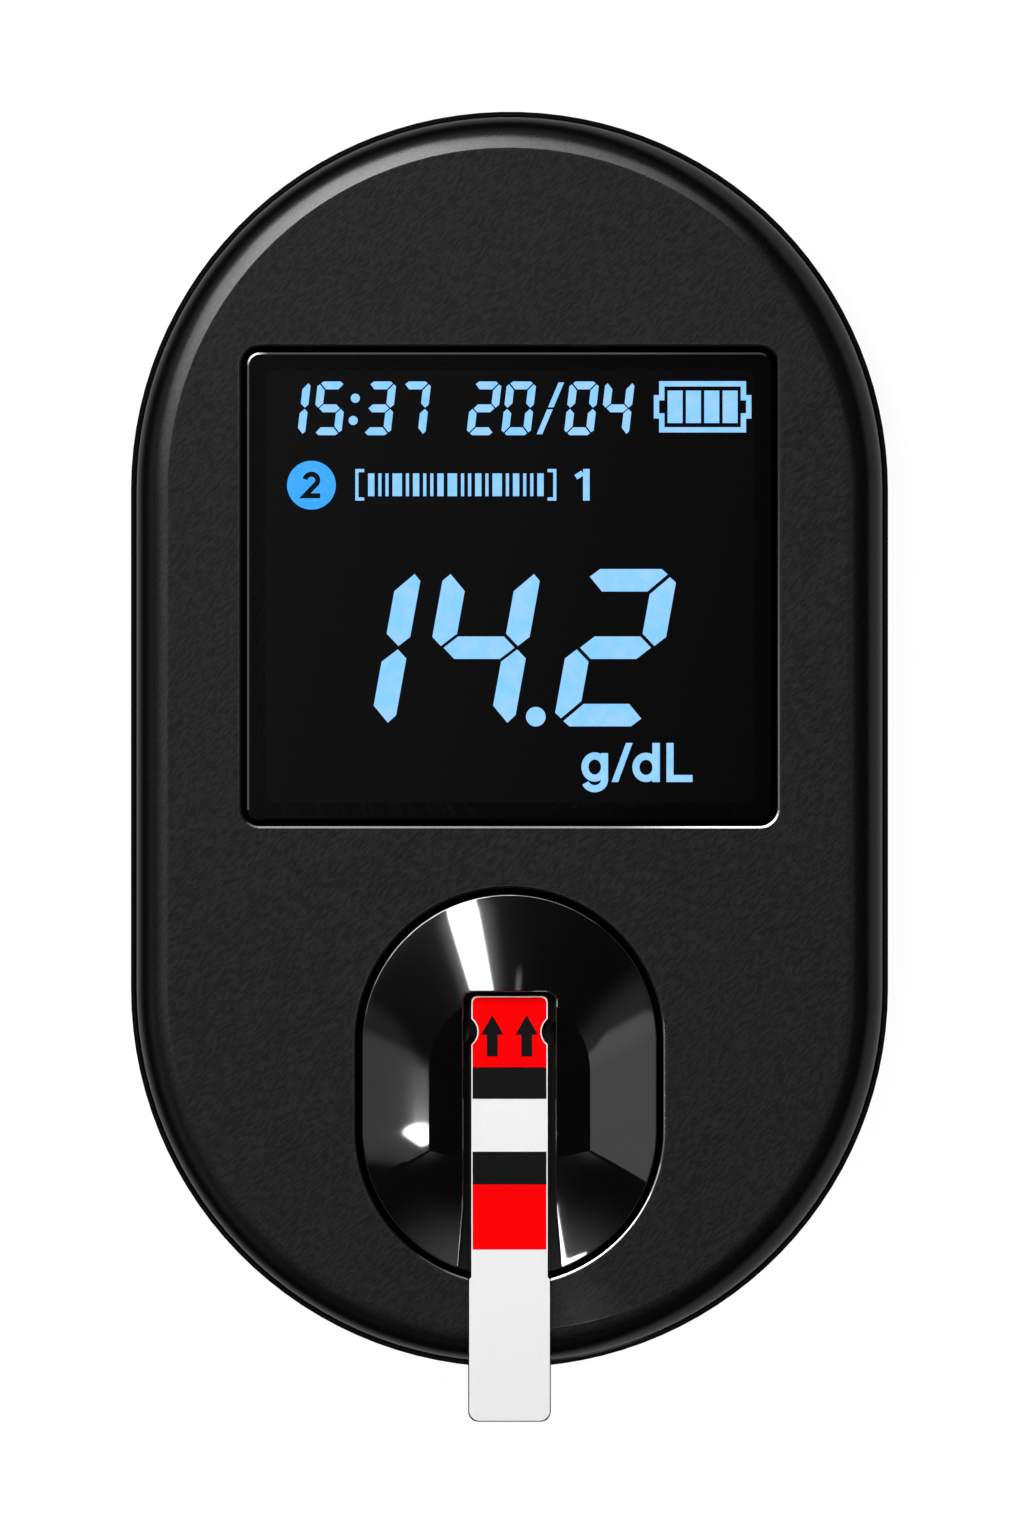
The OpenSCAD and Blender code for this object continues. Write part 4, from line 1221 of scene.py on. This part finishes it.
def fade_edges(lamp, fade):
    """Lets a lamp fall off towards its edges, over a share of its width."""
    tree = Tree(lamp)
    across = tree.add("ShaderNodeNewGeometry", out="Parametric")
    u, v = tree.axis(across, "X"), tree.axis(across, "Y")
    inside = u.at_most(1 - u).rise(0, fade) * v.at_most(1 - v).rise(0, fade)
    glow = tree.add("ShaderNodeEmission", None, {"Color": (1, 1, 1, 1), "Strength": inside})
    tree.add("ShaderNodeOutputLight", None, {"Surface": glow})


def area_lamp(name, place, turn, size, level, shape=BOX, fade=0.0, gloss_only=True):
    """A flat lamp that faces down before its turn. Its size is in metres."""
    data = bpy.data.lights.new(name, "AREA")
    data.shape = shape
    data.size, data.size_y = size
    data.energy = WATTS * data.size * data.size_y * level
    if fade:
        fade_edges(data, fade)
    lamp = put(name, data)
    lamp.location = place
    lamp.rotation_euler = turn
    lamp.visible_camera = False
    lamp.visible_glossy = gloss_only
    lamp.visible_diffuse = not gloss_only
    lamp.visible_transmission = False


def softbox(name, target, azimuth, polar, reach, level, shape=BOX, fade=0.0, gloss_only=True):
    """A lamp that, seen from its target, fills a range of azimuths from +Y to +X and of angles from +Z."""
    turn, tilt = (math.radians(sum(ends) / 2) for ends in (azimuth, polar))
    wide = math.radians(azimuth[1] - azimuth[0]) * math.sin(tilt)
    size = [2 * reach * math.tan(angle / 2) for angle in (wide, math.radians(polar[1] - polar[0]))]
    away = Vector((math.sin(tilt) * math.sin(turn), math.sin(tilt) * math.cos(turn), math.cos(tilt)))
    facing = away.to_track_quat("Z", "Y").to_euler()
    area_lamp(name, Vector(target) + away * reach, facing, size, level, shape, fade, gloss_only)


def near_box(name, middle, size, turn, level, fade):
    """A lamp close above the dome, turned about +Z."""
    place = Vector(middle) * MM
    area_lamp(name, place, (0, 0, math.radians(turn)), [length * MM for length in size], level, fade=fade)


def studio_lamps():
    """Two soft lamps light the object. The boxes and cards that only gloss sees make its reflections."""
    softbox("key", BODY, (-60, 0), (6, 42), 0.2, 8.0, gloss_only=False)
    softbox("fill", DOME, (150, 210), (8, 36), 0.6, 4.0, gloss_only=False)
    for azimuth, low, high, level in LONG_BOX:
        wide = (azimuth - LONG_HALF, azimuth + LONG_HALF)
        softbox(f"long_box_{azimuth}", BODY, wide, (low, high), LONG_REACH, level)
    softbox("left_edge_card", BODY, (-100, -80), (48, 60), LONG_REACH, 0.6)
    for name, azimuth, polar, level, shape, fade in CARDS:
        softbox(name, DOME, azimuth, polar, CARD_REACH, level, shape, fade)
    for box in NEAR_BOXES:
        near_box(*box)


FLOOR_GLOW = 0.94
FLOOR_HALF = 8.0
FLOOR_DROP = 0.02 * MM


def seen_rays(tree):
    """1 for rays that see the ground itself: straight, in gloss and through glass."""
    camera = tree.add("ShaderNodeLightPath", out="Is Camera Ray")
    glossy = tree.add("ShaderNodeLightPath", out="Is Glossy Ray")
    through = tree.add("ShaderNodeLightPath", out="Is Transmission Ray")
    return camera.at_least(glossy).at_least(through)


def pale_floor():
    """A wide white floor that keeps the object's shadow."""
    made = bmesh.new()
    bmesh.ops.create_grid(made, x_segments=8, y_segments=8, size=FLOOR_HALF)
    mesh = mesh_from("floor", made)
    floor = put("floor", mesh)
    floor.location.z = -FLOOR_DROP
    material = bpy.data.materials.new("floor_white")
    tree = Tree(material)
    seen = seen_rays(tree)
    paper = tree.noise(tree.place(), 0.02, 2)
    shade = tree.mix(seen, grey(0.8), tree.mix(paper, grey(0.14), grey(0.16)))
    matt = tree.add("ShaderNodeBsdfDiffuse", None, {"Color": shade})
    glow = tree.add("ShaderNodeEmission", None, {"Color": (1, 1, 1, 1), "Strength": seen * FLOOR_GLOW})
    both = tree.add("ShaderNodeAddShader", None, {0: matt, 1: glow})
    tree.add("ShaderNodeOutputMaterial", None, {"Surface": both})
    mesh.materials.append(material)


# The world's levels: what lights the object, what gloss sees overhead, what is added towards the
# horizon, and the heights between which the white background ends
ROOM_LIGHT = 0.12
OVERHEAD = 0.02
TOWARDS_LEVEL = 0.05
WHITE_ENDS = (0.05, 0.2)


def studio_world():
    """Dim overhead, and white towards the horizon for the rays that see it."""
    world = bpy.data.worlds.new("studio")
    bpy.context.scene.world = world
    tree = Tree(world)
    way = tree.add("ShaderNodeTexCoord", out="Generated")
    high = tree.axis(way, "Z")
    dim = OVERHEAD + TOWARDS_LEVEL * (1 - high.at_least(0))
    white = 1 - high.rise(*WHITE_ENDS)
    seen = seen_rays(tree)
    level = seen * (dim + white) + (1 - seen) * ROOM_LIGHT
    back = tree.add("ShaderNodeBackground", None, {"Color": (1, 1, 1, 1), "Strength": level})
    tree.add("ShaderNodeOutputWorld", None, {"Surface": back})


bpy.context.scene.view_settings.view_transform = "Standard"
photo_camera()
finishes = dress_cad_nodes()
gloss_dome(finishes["gloss_dome"])
channel_tray(finishes["tray_plastic"])
lit_display()
recess_edges(finish("moulded_edge", moulded_edge))
lens_edge(finish("polished_edge", polished_edge))
pale_floor()
studio_world()
studio_lamps()
